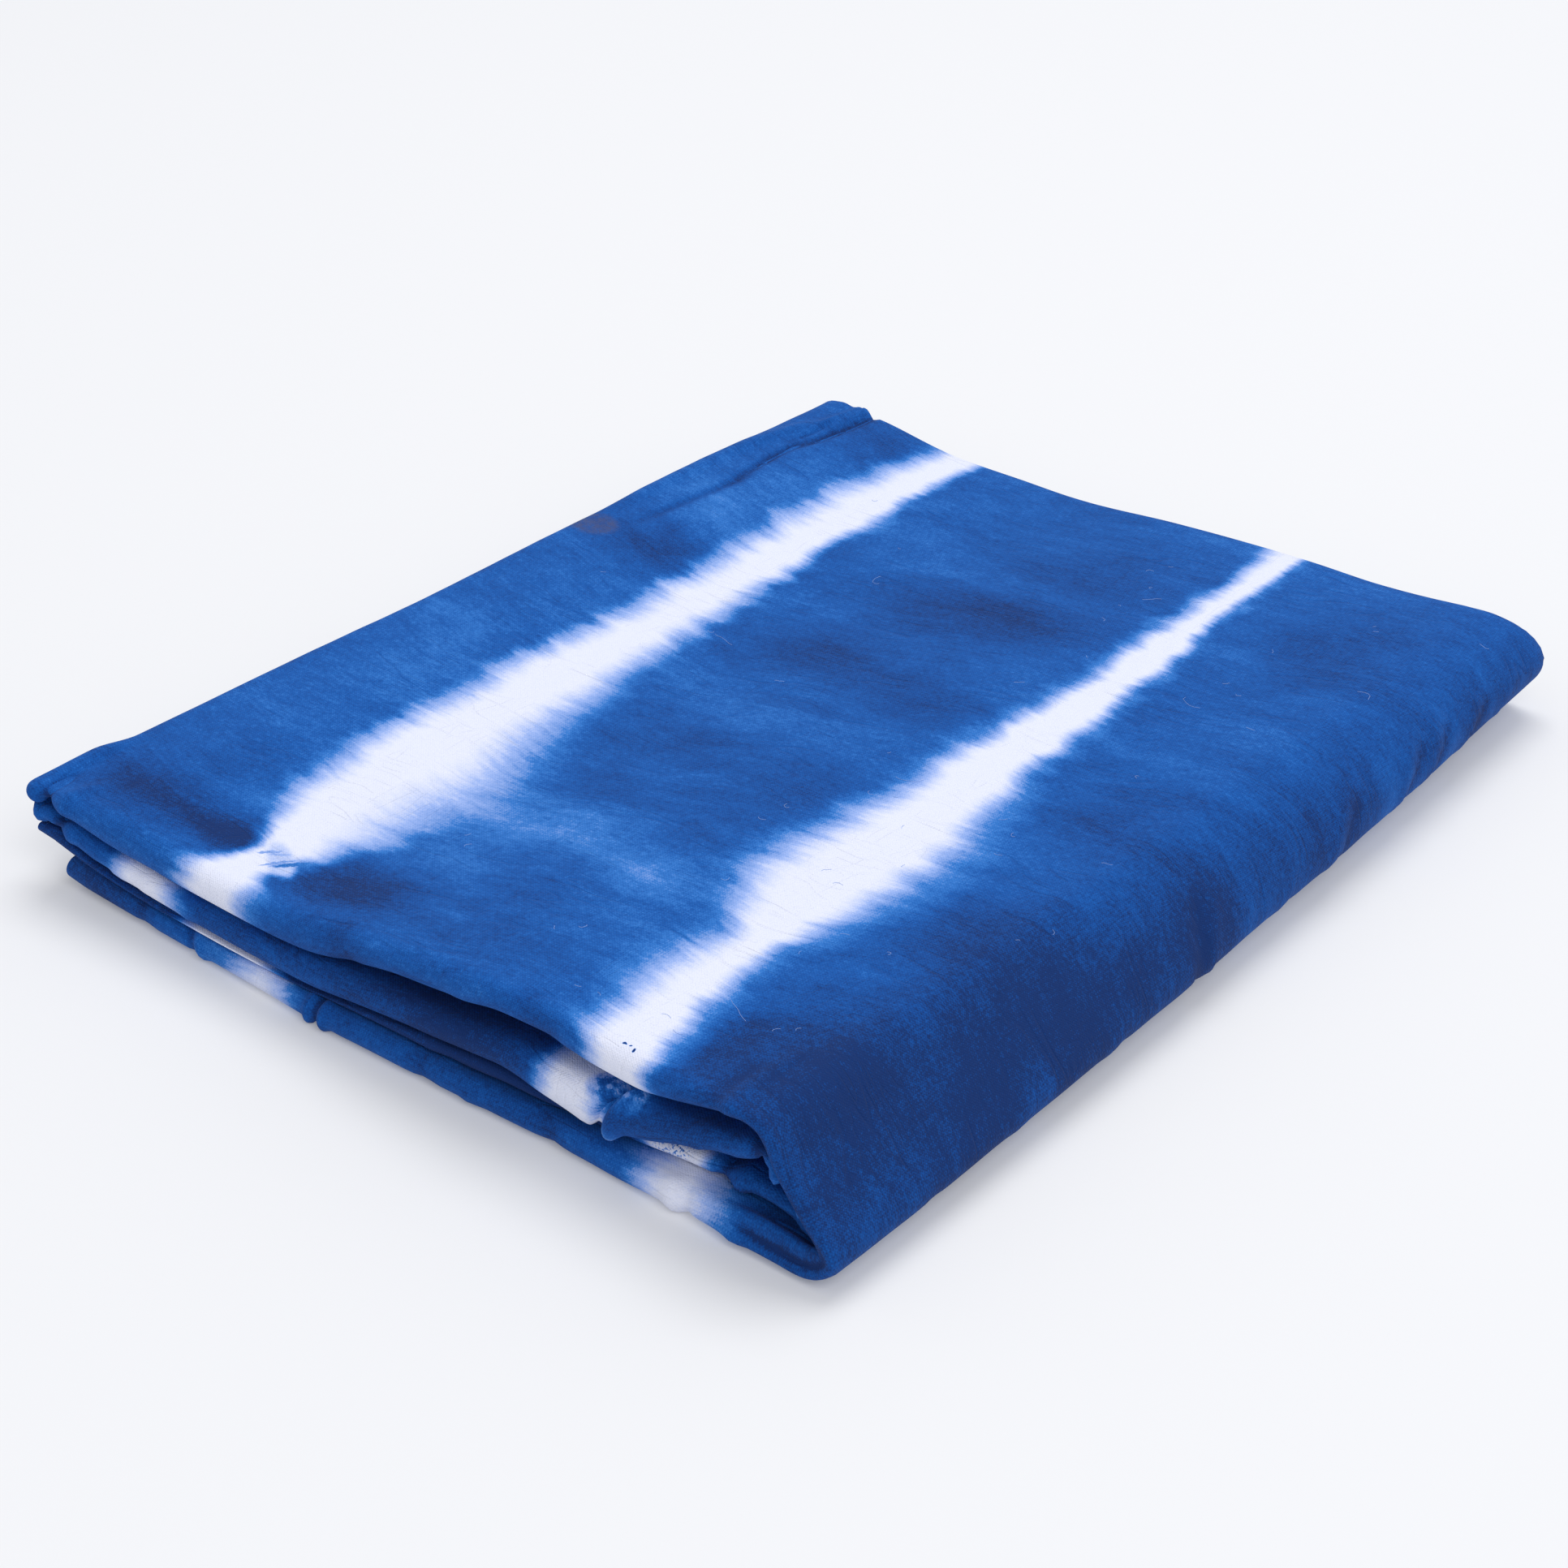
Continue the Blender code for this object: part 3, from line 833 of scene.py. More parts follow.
def layer_path(number, part, y):
    """Middle of a layer's pair of plies and half their distance."""
    layer = LAYERS[number]
    back = (y - FRONT_Y) / BUNDLE_LENGTH
    start = between(layer.start_front, layer.start_back, back) * MM
    end = between(layer.end_front, layer.end_back, back) * MM
    x = between(start, end, part)
    low = height(layer.low, x / MM, back)
    top = height(layer.top, x / MM, back)
    half = (top - low - SHEET) / 2.0
    if number == BASE:
        half = half * end_share(part * (end - start))
    if number == THIRD:
        half = half * end_share((1.0 - part) * (start - end))
    return np.stack([x, (low + top) / 2.0], 1), half


def turn_place(turn, back):
    """A turn's place on the curve through its front, half-way and back places, mm."""
    front, half_way, behind = (np.array(turn[i:i + 2]) for i in (0, 2, 4))
    return (front * (2 * back - 1) * (back - 1) + half_way * 4 * back * (1 - back)
            + behind * back * (2 * back - 1))


def fold_path(number, part, y):
    """Middle of the pair round a fold, and the way to the first ply."""
    fold = FOLDS[number]
    back = ((y - FRONT_Y) / BUNDLE_LENGTH)[:, None]
    start, half_start = layer_path(number, 1.0, y)
    end, half_end = layer_path(number + 1, 0.0, y)
    near = 1.0 - smooth(back * BUNDLE_LENGTH / INNER_REACH)
    points = [start]
    for index, turn in enumerate(fold.turns):
        place = turn_place(turn, back)
        if number == INNER:
            place = place + (np.array(INNER_FRONT[index]) - np.array(turn[:2])) * near
        points.append(place * MM)
    points.append(end)
    way = np.array([-1.0, 0.0]) if number == LEFT else np.array([1.0, 0.0])
    steps = [np.linalg.norm(b - a, axis=1, keepdims=True) for a, b in zip(points, points[1:])]
    ways = [np.broadcast_to(way, start.shape)]
    for index in range(1, len(points) - 1):
        ways.append((points[index + 1] - points[index - 1]) / (steps[index - 1] + steps[index]))
    ways.append(np.broadcast_to(-way, start.shape))
    index = min(int(part * len(steps)), len(steps) - 1)
    stretch = (part * len(steps) - index, steps[index], points[index], ways[index],
               points[index + 1], ways[index + 1])
    heading = curve_heading(*stretch)
    middle_half = fold.half_distance * MM + PROUD
    if part < 0.5:
        half = between(half_start, middle_half, smooth(part * 2.0))
    else:
        half = between(middle_half, half_end, smooth(part * 2.0 - 1.0))
    return curve_point(*stretch), half[:, None] * np.stack([heading[:, 1], -heading[:, 0]], 1)


def pair_at(station, y):
    """Middle of the pair of plies at a station, and the way to the first ply."""
    kind, number, part = station
    if kind == "fold":
        return fold_path(number, part, y)
    middle, half = layer_path(number, part, y)
    side = -1.0 if number % 2 == 0 else 1.0
    return middle, np.stack([np.zeros_like(half), half * side], 1)


def wave(x, y, z):
    """Lift of the soft waves, as in the solid."""
    wave_x = np.sin(2.0 * math.pi * (x / WAVE_ACROSS + WAVE_START_X))
    slant = WAVE_SLANT * x / WAVE_ACROSS
    wave_y = np.sin(2.0 * math.pi * (y / WAVE_ALONG + WAVE_START_Y + slant))
    return WAVE_SHARE * wave_x * wave_y * np.maximum(z - SOLID_PLY, 0.0)


def layer_shares(number, steps):
    """Shares of a layer's run, closer together where it has small folds."""
    layer = LAYERS[number]
    fine = np.linspace(0.0, 1.0, RUN_PLACES)
    x = between(layer.start_front, layer.end_front, fine)
    weight = np.ones_like(fine)
    for detail in DETAILS:
        if detail.layer == number:
            weight += detail.weight * np.exp(-((x - detail.x) / detail.reach) ** 2)
    run = np.concatenate([[0.0], np.cumsum((weight[1:] + weight[:-1]) / 2.0)])
    return np.interp(np.arange(steps) / steps, run / run[-1], fine)


def strip_stations(steps):
    """The stations along the strip: layer or fold, its number and its share."""
    stations = []
    for number, count in enumerate(steps.layers):
        stations += [("layer", number, float(part)) for part in layer_shares(number, count)]
        if number < len(FOLDS):
            count = steps.folds[number]
            stations += [("fold", number, step / count) for step in range(count)]
    stations.append(("layer", len(LAYERS) - 1, 1.0))
    return stations


def mixed_by_layer(station, values):
    """A value given for each layer, eased round the folds between them."""
    kind, number, part = station
    if kind == "layer":
        return values[number]
    return between(values[number], values[number + 1], float(smooth(part)))


def layer_lip_back(number, share):
    """How far a layer's lip lies behind the front at a share of its run, mm."""
    layer = LAYERS[number]
    places, backs = zip(*LIP_BACKS[number])
    return float(np.interp(between(layer.start_front, layer.end_front, share), places, backs))


def lip_back_at(station):
    """How far a station's lip lies behind the front, metres."""
    kind, number, part = station
    if kind == "layer":
        return layer_lip_back(number, part) * MM
    before, after = layer_lip_back(number, 1.0), layer_lip_back(number + 1, 0.0)
    return between(before, after, float(smooth(part))) * MM


def hem_rows(edge, side):
    """Rows of a hem from its ply's edge inwards: y, side and distance inwards."""
    rows = [(edge - HEM_ROLL + HEM_ROLL * math.sin(turn), side, HEM_ROLL * (1.0 - math.cos(turn)))
            for turn in math.pi * np.arange(1, HEM_TURNS + 1) / HEM_TURNS]
    return rows + [(edge - HEM_WIDTH, side, 2.0 * HEM_ROLL)]


def ply_rows(station, spread, steps, edge_shift):
    """Rows of one pair of plies at a station: y, side and distance inwards.

    They run from the hem of the first ply, over it to the front lip, round the
    lip and back along the second ply to its hem. Side is 1 on the first ply and
    -1 on the second."""
    lip_y = FRONT_Y + lip_back_at(station) + SHEET / 2.0 + (1.0 - spread) * LIP_DEPTH
    _, half = pair_at(station, np.array([lip_y]))
    depth = min(LIP_DEPTH, float(np.linalg.norm(half[0])) * spread * LIP_ROUNDNESS)
    lip_start = lip_y + depth
    edges = [BACK_Y + mixed_by_layer(station, [row[ply] for row in BACK_EDGES]) * MM
             + edge_shift[ply] for ply in (0, 1)]
    rows = hem_rows(edges[0], 1.0)[::-1]
    for step in range(steps.first, 0, -1):
        share = (step / steps.first) ** FIRST_PLY_CROWDING
        rows.append((between(lip_start, edges[0] - HEM_ROLL, share), 1.0, 0.0))
    for step in range(steps.lip + 1):
        turn = math.pi * step / steps.lip
        rows.append((lip_start - depth * math.sin(turn), math.cos(turn), 0.0))
    for step in range(1, steps.second + 1):
        share = (step / steps.second) ** SECOND_PLY_CROWDING
        rows.append((between(lip_start, edges[1] - HEM_ROLL, share), -1.0, 0.0))
    return np.array(rows + hem_rows(edges[1], -1.0))


def pair_points(station, rows, spread):
    """Places of a pair's rows at a station."""
    y, side, inward = rows[:, 0], rows[:, 1], rows[:, 2]
    middle, out = pair_at(station, y)
    away = out / np.maximum(np.linalg.norm(out, axis=1, keepdims=True), TINY)
    place = middle + (out * spread) * side[:, None] - away * (np.sign(side) * inward)[:, None]
    x, z = place[:, 0], place[:, 1]
    return np.stack([x - MIDDLE_X, y - MIDDLE_Y, z + wave(x, y, z)], 1)


def edge_shifts(count, seed, reach):
    """Small uneven shifts of the two plies' back edges along the strip, metres."""
    return [[reach * noise.noise(Vector((index * WANDER_STEP,
                                         seed * WANDER_PAIR + ply * WANDER_PLY,
                                         WANDER_LEVEL)))
             for ply in (0, 1)] for index in range(count)]


class Strip:
    """A pair of plies as a grid: points, flat coordinates and where each one is."""

    def __init__(self, steps, spread=1.0, seed=0, reach=OUTER_WANDER):
        self.stations = strip_stations(steps)
        self.top_start = steps.layers[BASE] + steps.folds[0]
        shifts = edge_shifts(len(self.stations), seed, reach)
        rows = [ply_rows(station, spread, steps, shift)
                for station, shift in zip(self.stations, shifts)]
        self.side = rows[0][:, 1]
        self.points = np.array([pair_points(station, row, spread)
                                for station, row in zip(self.stations, rows)])
        lengths = np.linalg.norm(np.diff(self.points, axis=1), axis=2)
        run = np.pad(np.cumsum(lengths, axis=1), ((0, 0), (1, 0)))
        lip_row = HEM_ROWS + steps.first + steps.lip // 2
        self.v = run[:, lip_row:lip_row + 1] - run
        self.u = self.flat_u()

    def flat_u(self):
        """The way along the strip, equal to X where the top layer starts."""
        reference = np.array([FRONT_Y + BUNDLE_LENGTH * REFERENCE_SHARE])
        path = np.array([pair_at(station, reference)[0][0] for station in self.stations])
        run = np.concatenate([[0.0], np.cumsum(np.linalg.norm(np.diff(path, axis=0), axis=1))])
        return path[self.top_start, 0] - MIDDLE_X + run[self.top_start] - run

    def u_at(self, place, value):
        """U at a place's x in mm, or at a fold's share."""
        if place in FOLD_NAMES:
            kind, number, share = "fold", FOLD_NAMES.index(place), value
        else:
            kind, number = "layer", LAYER_NAMES.index(place)
            layer = LAYERS[number]
            way = layer.end_front - layer.start_front
            share = (value + MIDDLE_X / MM - layer.start_front) / way
        chosen = [i for i, s in enumerate(self.stations) if s[:2] == (kind, number)]
        chosen.append(min(chosen[-1] + 1, len(self.stations) - 1))
        shares = [self.stations[i][2] for i in chosen[:-1]] + [1.0]
        return float(np.interp(share, shares, [self.u[i] for i in chosen]))

    def normals(self):
        """Ways out of the pair, at each point."""
        normal = np.cross(np.gradient(self.points, axis=0), np.gradient(self.points, axis=1))
        normal /= np.maximum(np.linalg.norm(normal, axis=2, keepdims=True), TINY)
        if normal[self.top_start + UPWARD_STATION, HEM_ROWS + UPWARD_ROW, 2] < 0.0:
            normal = -normal
        return normal

    def crease_lift(self, depth):
        """Lift of the placed creases at each point, metres."""
        lift = np.zeros(self.v.shape)
        for crease in CREASES:
            start_u = self.u_at(crease.place, crease.start_x)
            end_u = self.u_at(crease.end_place or crease.place, crease.end_x)
            start = np.array([start_u, crease.start_v * MM])
            way = np.array([end_u, crease.end_v * MM]) - start
            length = np.linalg.norm(way)
            way = way / length
            du = self.u[:, None] - start[0]
            dv = self.v - start[1]
            along = (du * way[0] + dv * way[1]) / length
            aside = du * -way[1] + dv * way[0]
            aside = aside - crease.bow * MM * 4.0 * along * (1.0 - along)
            fade = smooth(along / CREASE_START_FADE) * smooth((1.0 - along) / CREASE_END_FADE)
            shape = np.exp(-(aside / (crease.width * MM)) ** 2)
            lift += crease.height * MM * depth * shape * fade
        return lift

    def ripple_lift(self, amount, seed):
        """Soft uneven ripples of the sheet at each point, metres."""
        lift = np.zeros(self.v.shape)
        for (i, j), v in np.ndenumerate(self.v):
            u = self.u[i]
            wide = noise.noise(Vector((u * WIDE_RIPPLES[0], v * WIDE_RIPPLES[1], seed)))
            small = noise.noise(Vector((u * SMALL_RIPPLES[0], v * SMALL_RIPPLES[1],
                                        seed + SMALL_RIPPLE_SEED)))
            lift[i, j] = wide + SMALL_RIPPLE_SHARE * small
        return lift * amount

    def lift(self, amount):
        """Move each point outwards; a hem goes with its ply's edge."""
        moved = self.normals() * amount[:, :, None]
        moved[:, :HEM_ROWS] = moved[:, HEM_ROWS:HEM_ROWS + 1]
        moved[:, -HEM_ROWS:] = moved[:, -HEM_ROWS - 1:-HEM_ROWS]
        self.points = self.points + moved


def build_sheet(name, strip, attributes):
    """A mesh object from a strip's grid, with its flat cloth UV and attributes."""
    count_u, count_v = strip.v.shape
    index = np.arange(count_u * count_v).reshape(count_u, count_v)
    corners = (index[:-1, :-1], index[1:, :-1], index[1:, 1:], index[:-1, 1:])
    quads = np.stack([corner.ravel() for corner in corners], 1)
    mesh = bpy.data.meshes.new(name)
    mesh.from_pydata(strip.points.reshape(-1, 3).tolist(), [], quads.tolist())
    mesh.update()
    sample = mesh.polygons[len(mesh.polygons) // 3]
    outward = strip.normals().reshape(-1, 3)[sample.vertices[0]]
    if sample.normal.dot(Vector(outward)) < 0.0:
        mesh.flip_normals()
    flat = np.stack([np.repeat(strip.u, count_v), strip.v.ravel()], 1).astype(np.float32)
    loops = np.zeros(len(mesh.loops), np.int32)
    mesh.loops.foreach_get("vertex_index", loops)
    mesh.uv_layers.new(name="cloth").data.foreach_set("uv", flat[loops].ravel())
    for key, values in attributes.items():
        attribute = mesh.attributes.new(key, "FLOAT", "POINT")
        attribute.data.foreach_set("value", values.astype(np.float32).ravel())
    mesh.shade_smooth()
    sheet = bpy.data.objects.new(name, mesh)
    bpy.context.scene.collection.objects.link(sheet)
    return sheet


def band_edges(rows, x, y):
    """Distance into a white band of the top layer, its feather and its halo, mm."""
    places = [row.y for row in rows]
    values = {key: np.interp(y, places, [getattr(row, key) for row in rows])
              for key in Band._fields[1:]}
    left = x < values["middle"]
    return (values["half"] - np.abs(x - values["middle"]),
            np.where(left, values["left_feather"], values["right_feather"]),
            np.where(left, values["left_halo"], values["right_halo"]))


def lip_band_edges(band, x, v):
    """The same for a band of a layer that shows only at its lip."""
    drift = LIP_BAND_DRIFT * np.sin(v * LIP_BAND_WAVES) * smooth(np.abs(v) / LIP_BAND_START)
    flat = np.ones(x.shape)
    return band.half - np.abs(x - band.middle + drift), flat * band.feather, flat * band.halo


def base_tone(station):
    """Depth of the blue at a station, eased round the folds."""
    kind, number, part = station
    if kind == "layer":
        return BASE_TONE[LAYER_NAMES[number]]
    near = BASE_TONE[LAYER_NAMES[number if part < 0.5 else number + 1]]
    return near + (BASE_TONE[FOLD_NAMES[number]] - near) * (1.0 - abs(part - 0.5) * 2.0)


def dye_fields(strip, lift=0.0):
    """Resist distance, feather, halo and depth of the blue at each point of a strip.

    Troughs of the creases, where lift is below 0, get painted shade: the blue is deeper there."""
    x = strip.points[:, :, 0] / MM
    y = strip.points[:, :, 1] / MM
    resist = np.full(x.shape, FAR_OUTSIDE)
    feather = np.full(x.shape, PLAIN_FEATHER)
    halo = np.full(x.shape, PLAIN_HALO)
    tone = np.zeros(x.shape)
    for i, station in enumerate(strip.stations):
        tone[i] = base_tone(station)
        kind, number, _ = station
        if kind == "fold":
            continue
        if number == TOP:
            found = [band_edges(rows, x[i], y[i]) for rows in (LEFT_BAND, RIGHT_BAND)]
        else:
            found = [lip_band_edges(band, x[i], strip.v[i])
                     for band in LIP_BANDS if band.layer == number]
        for distance, soft, reach in found:
            closer = distance > resist[i]
            resist[i] = np.where(closer, distance, resist[i])
            feather[i] = np.where(closer, soft, feather[i])
            halo[i] = np.where(closer, reach, halo[i])
    for patch in PATCHES:
        du = (strip.u[:, None] - strip.u_at(patch.place, patch.x)) / (patch.reach_x * MM)
        dv = (strip.v - patch.v * MM) / (patch.reach_v * MM)
        tone += patch.change * np.exp(-(du * du + dv * dv))
    tone[:, strip.side < 0.0] += SECOND_PLY_TONE
    # Painted shade in the troughs of the placed creases
    tone += TROUGH_SHADE_TONE * np.clip(-lift / MM, 0.0, DEEPEST_TROUGH)
    return {"resist": resist, "feather": feather, "halo": halo, "tone": tone}


def new_group(name, inputs, outputs):
    """A shader node group with named sockets, and its input and output nodes.

    Inputs are given with their defaults, a vector's as None. Outputs are values."""
    group = bpy.data.node_groups.new(name, "ShaderNodeTree")
    for label, default in inputs.items():
        kind = "NodeSocketVector" if default is None else "NodeSocketFloat"
        socket = group.interface.new_socket(label, in_out="INPUT", socket_type=kind)
        if default is not None:
            socket.default_value = default
    for label in outputs:
        group.interface.new_socket(label, in_out="OUTPUT", socket_type="NodeSocketFloat")
    return group, group.nodes.new("NodeGroupInput"), group.nodes.new("NodeGroupOutput")


def add_node(tree, kind, *values, **options):
    """A shader node with its options set, and its inputs linked or set in order."""
    node = tree.nodes.new("ShaderNode" + kind)
    for key, option in options.items():
        setattr(node, key, option)
    for socket, value in zip(node.inputs, values):
        if isinstance(value, bpy.types.NodeSocket):
            tree.links.new(value, socket)
        elif value is not None:
            socket.default_value = value
    return node


def math_node(tree, operation, *values):
    """The result of a math node."""
    return add_node(tree, "Math", *values, operation=operation).outputs[0]


def times(tree, first, second, added=None):
    """The product of two values, and a third added to it where there is one."""
    operation = "MULTIPLY" if added is None else "MULTIPLY_ADD"
    return math_node(tree, operation, first, second, added)


def soft_range(tree, value, low, high, to_low=0.0, to_high=1.0):
    """A smooth step of value between low and high."""
    return add_node(tree, "MapRange", value, low, high, to_low, to_high,
                    interpolation_type="SMOOTHSTEP").outputs[0]


def mixed_value(tree, share, low, high):
    """A value from low to high by a share."""
    return add_node(tree, "Mix", share, None, low, high).outputs[0]


def flat_vector(tree, first, second):
    """Two values as the X and Y of a vector."""
    return add_node(tree, "CombineXYZ", first, second).outputs[0]


def stretched_noise(tree, vector, cells):
    """Noise about 0 with cells of a length and width."""
    place = (cells.shift, cells.shift * SHIFT_ACROSS, 0.0)
    scale = (1.0 / cells.along, 1.0 / cells.across, 1.0)
    mapping = add_node(tree, "Mapping", vector, place, None, scale)
    texture = add_node(tree, "TexNoise", mapping.outputs[0], None, 1.0, cells.detail,
                       cells.roughness, noise_dimensions="2D")
    value = math_node(tree, "SUBTRACT", texture.outputs["Fac"], 0.5)
    return math_node(tree, "ABSOLUTE", value) if cells.folded else value


def noise_sum(tree, vector, base, *names):
    """Named noises times their weights, added to a base."""
    for name in names:
        base = times(tree, stretched_noise(tree, vector, CELLS[name]), CELLS[name].weight, base)
    return base


def bent_cloth(tree, cloth):
    """The flat cloth with its crosswise lines gently bent, for streaks of dye."""
    bend = flat_vector(tree, 0.0, noise_sum(tree, cloth, 0.0, "slow bend", "quick bend"))
    return add_node(tree, "VectorMath", cloth, bend).outputs[0]


def ellipse_mask(tree, place, mark):
    """A mark's soft ellipse at a place in metres: 1 inside and 0 outside."""
    mapping = add_node(tree, "Mapping", place, (mark.x * MM, mark.y * MM, 0.0),
                       (0.0, 0.0, math.radians(mark.turn)),
                       (mark.half_length * MM, mark.half_width * MM, 1.0), vector_type="TEXTURE")
    length = add_node(tree, "VectorMath", mapping.outputs[0], operation="LENGTH")
    return soft_range(tree, length.outputs["Value"], 1.0 + mark.edge, 1.0 - mark.edge)


def resist_dye_group():
    """Indigo dye held off by the resist: density from 0, undyed, to 1, navy.

    Resist is the distance into a white band in mm, Feather the width of its
    edge and Halo the reach of the azure beside it."""
    group, start, end = new_group(
        "resist_dye",
        {"Cloth": None, "Resist": FAR_OUTSIDE, "Feather": PLAIN_FEATHER, "Halo": PLAIN_HALO,
         "Tone": PLAIN_TONE},
        ["Density"])
    flat, resist, feather, halo, tone = start.outputs[:5]
    cloth = bent_cloth(group, flat)
    sway = noise_sum(group, cloth, EDGE_REST, "tongue", "tooth", "fringe")
    sway = times(group, sway, times(group, feather, EDGE_REACH_SHARE, EDGE_REACH))
    fibre = stretched_noise(group, cloth, CELLS["fibre"])
    sway = times(group, fibre, times(group, feather, FIBRE_SHARE), sway)
    sway = noise_sum(group, cloth, sway, "wander")
    outside = math_node(group, "SUBTRACT", sway, resist)
    edge = soft_range(group, outside, times(group, feather, EDGE_START),
                      times(group, feather, EDGE_FULL))
    edge = math_node(group, "POWER", edge, EDGE_CONTRAST)
    dyed = soft_range(group, noise_sum(group, cloth, outside, "lobe"),
                      times(group, halo, HALO_START), math_node(group, "ADD", halo, HALO_MARGIN))
    tone = noise_sum(group, cloth, tone, "cloud", "drift", "streak", "mottle")
    azure = times(group, tone, AZURE_SHARE, AZURE_TONE)
    blue = times(group, math_node(group, "SUBTRACT", tone, azure), dyed, azure)
    group.links.new(times(group, edge, blue), end.inputs["Density"])
    return group


def plain_weave_group():
    """Plain weave: thread height, and a tint of threads of uneven thickness."""
    group, start, end = new_group(
        "plain_weave", {"Cloth": None, "Pitch": THREAD_PITCH}, ["Height", "Tint"])
    cloth, pitch = start.outputs[:2]
    x, y, _ = add_node(group, "SeparateXYZ", cloth).outputs
    turn = math_node(group, "DIVIDE", math.pi, pitch)
    warp = math_node(group, "SINE", times(group, x, turn))
    weft = math_node(group, "SINE", times(group, y, turn))
    crossing = times(group, warp, weft)
    slub = math_node(group, "ADD", stretched_noise(group, cloth, CELLS["weft thread"]),
                     stretched_noise(group, cloth, CELLS["warp thread"]))
    raised = times(group, slub, SLUB_HEIGHT, times(group, crossing, CROSSING_HEIGHT))
    group.links.new(raised, end.inputs["Height"])
    group.links.new(times(group, crossing, CROSSING_TINT, slub), end.inputs["Tint"])
    return group


def fine_crease_group():
    """Small dry creases of pressed cotton: their depth, 0 to 1, mostly across the bands."""
    group, start, end = new_group("fine_creases", {"Cloth": None}, ["Depth"])
    cloth = bent_cloth(group, start.outputs["Cloth"])
    total = 0.0
    for crease in FINE_CREASES:
        line = math_node(group, "ABSOLUTE", stretched_noise(group, cloth, crease.cells))
        line = soft_range(group, line, crease.width, 0.0)
        patches = Cells(*CREASE_PATCHES, crease.cells.shift + CREASE_PATCH_SHIFT)
        where = soft_range(group, stretched_noise(group, cloth, patches),
                           *CREASE_PATCH_RANGE, 0.0, crease.weight)
        total = math_node(group, "MAXIMUM", total, times(group, line, where))
    group.links.new(total, end.inputs["Depth"])
    return group


def tie_mark_group():
    """Marks of ties and stitches on the dye's density, and the stain's mask."""
    group, start, end = new_group(
        "tie_marks", {"Place": None, "Density": PLAIN_TONE}, ["Density", "Stain"])
    place, density = start.outputs[:2]
    x, y, z = add_node(group, "SeparateXYZ", place).outputs
    front = flat_vector(group, x, z)
    ragged = stretched_noise(group, flat_vector(group, x, y), CELLS["ragged"])
    ragged = times(group, ragged, RAGGED_REACH)
    plan = flat_vector(group, math_node(group, "ADD", x, ragged),
                       math_node(group, "SUBTRACT", y, ragged))
    upper = soft_range(group, z, *TOP_PLY)
    near_lip = soft_range(group, y, *NEAR_LIP)
    for mark in TOP_MARKS:
        mask = times(group, ellipse_mask(group, plan, mark), upper)
        density = mixed_value(group, mask, density, mark.depth)
    gap = times(group, soft_range(group, z, *PUCKER_BELOW), soft_range(group, z, *PUCKER_ABOVE))
    pucker = times(group, times(group, ellipse_mask(group, plan, PUCKER), near_lip), gap)
    crumbs = stretched_noise(group, plan, CELLS["crumbs"])
    density = mixed_value(group, pucker, density, soft_range(group, crumbs, *CRUMB_RANGE))
    speckled = times(group, ellipse_mask(group, front, SPECKLED), near_lip)
    speckled = times(group, speckled, soft_range(group, z, *SPECKS_ABOVE))
    specks = stretched_noise(group, front, CELLS["specks"])
    density = times(group, soft_range(group, specks, *SPECK_RANGE), speckled, density)
    worn = soft_range(group, stretched_noise(group, plan, CELLS["worn"]), *WORN_RANGE)
    stain = times(group, ellipse_mask(group, plan, STAIN), worn)
    group.links.new(density, end.inputs["Density"])
    group.links.new(times(group, stain, upper), end.inputs["Stain"])
    return group


def shared_group(tree, name, build):
    """A node with a shared group, which is built the first time."""
    return add_node(tree, "Group", node_tree=bpy.data.node_groups.get(name) or build())


def new_material(name, values):
    """A material with plain values on its shader's own sockets, and that shader."""
    material = bpy.data.materials.new(name)
    material.use_nodes = True
    surface = material.node_tree.nodes["Principled BSDF"]
    for socket, value in values.items():
        surface.inputs[socket].default_value = value
    return material, surface


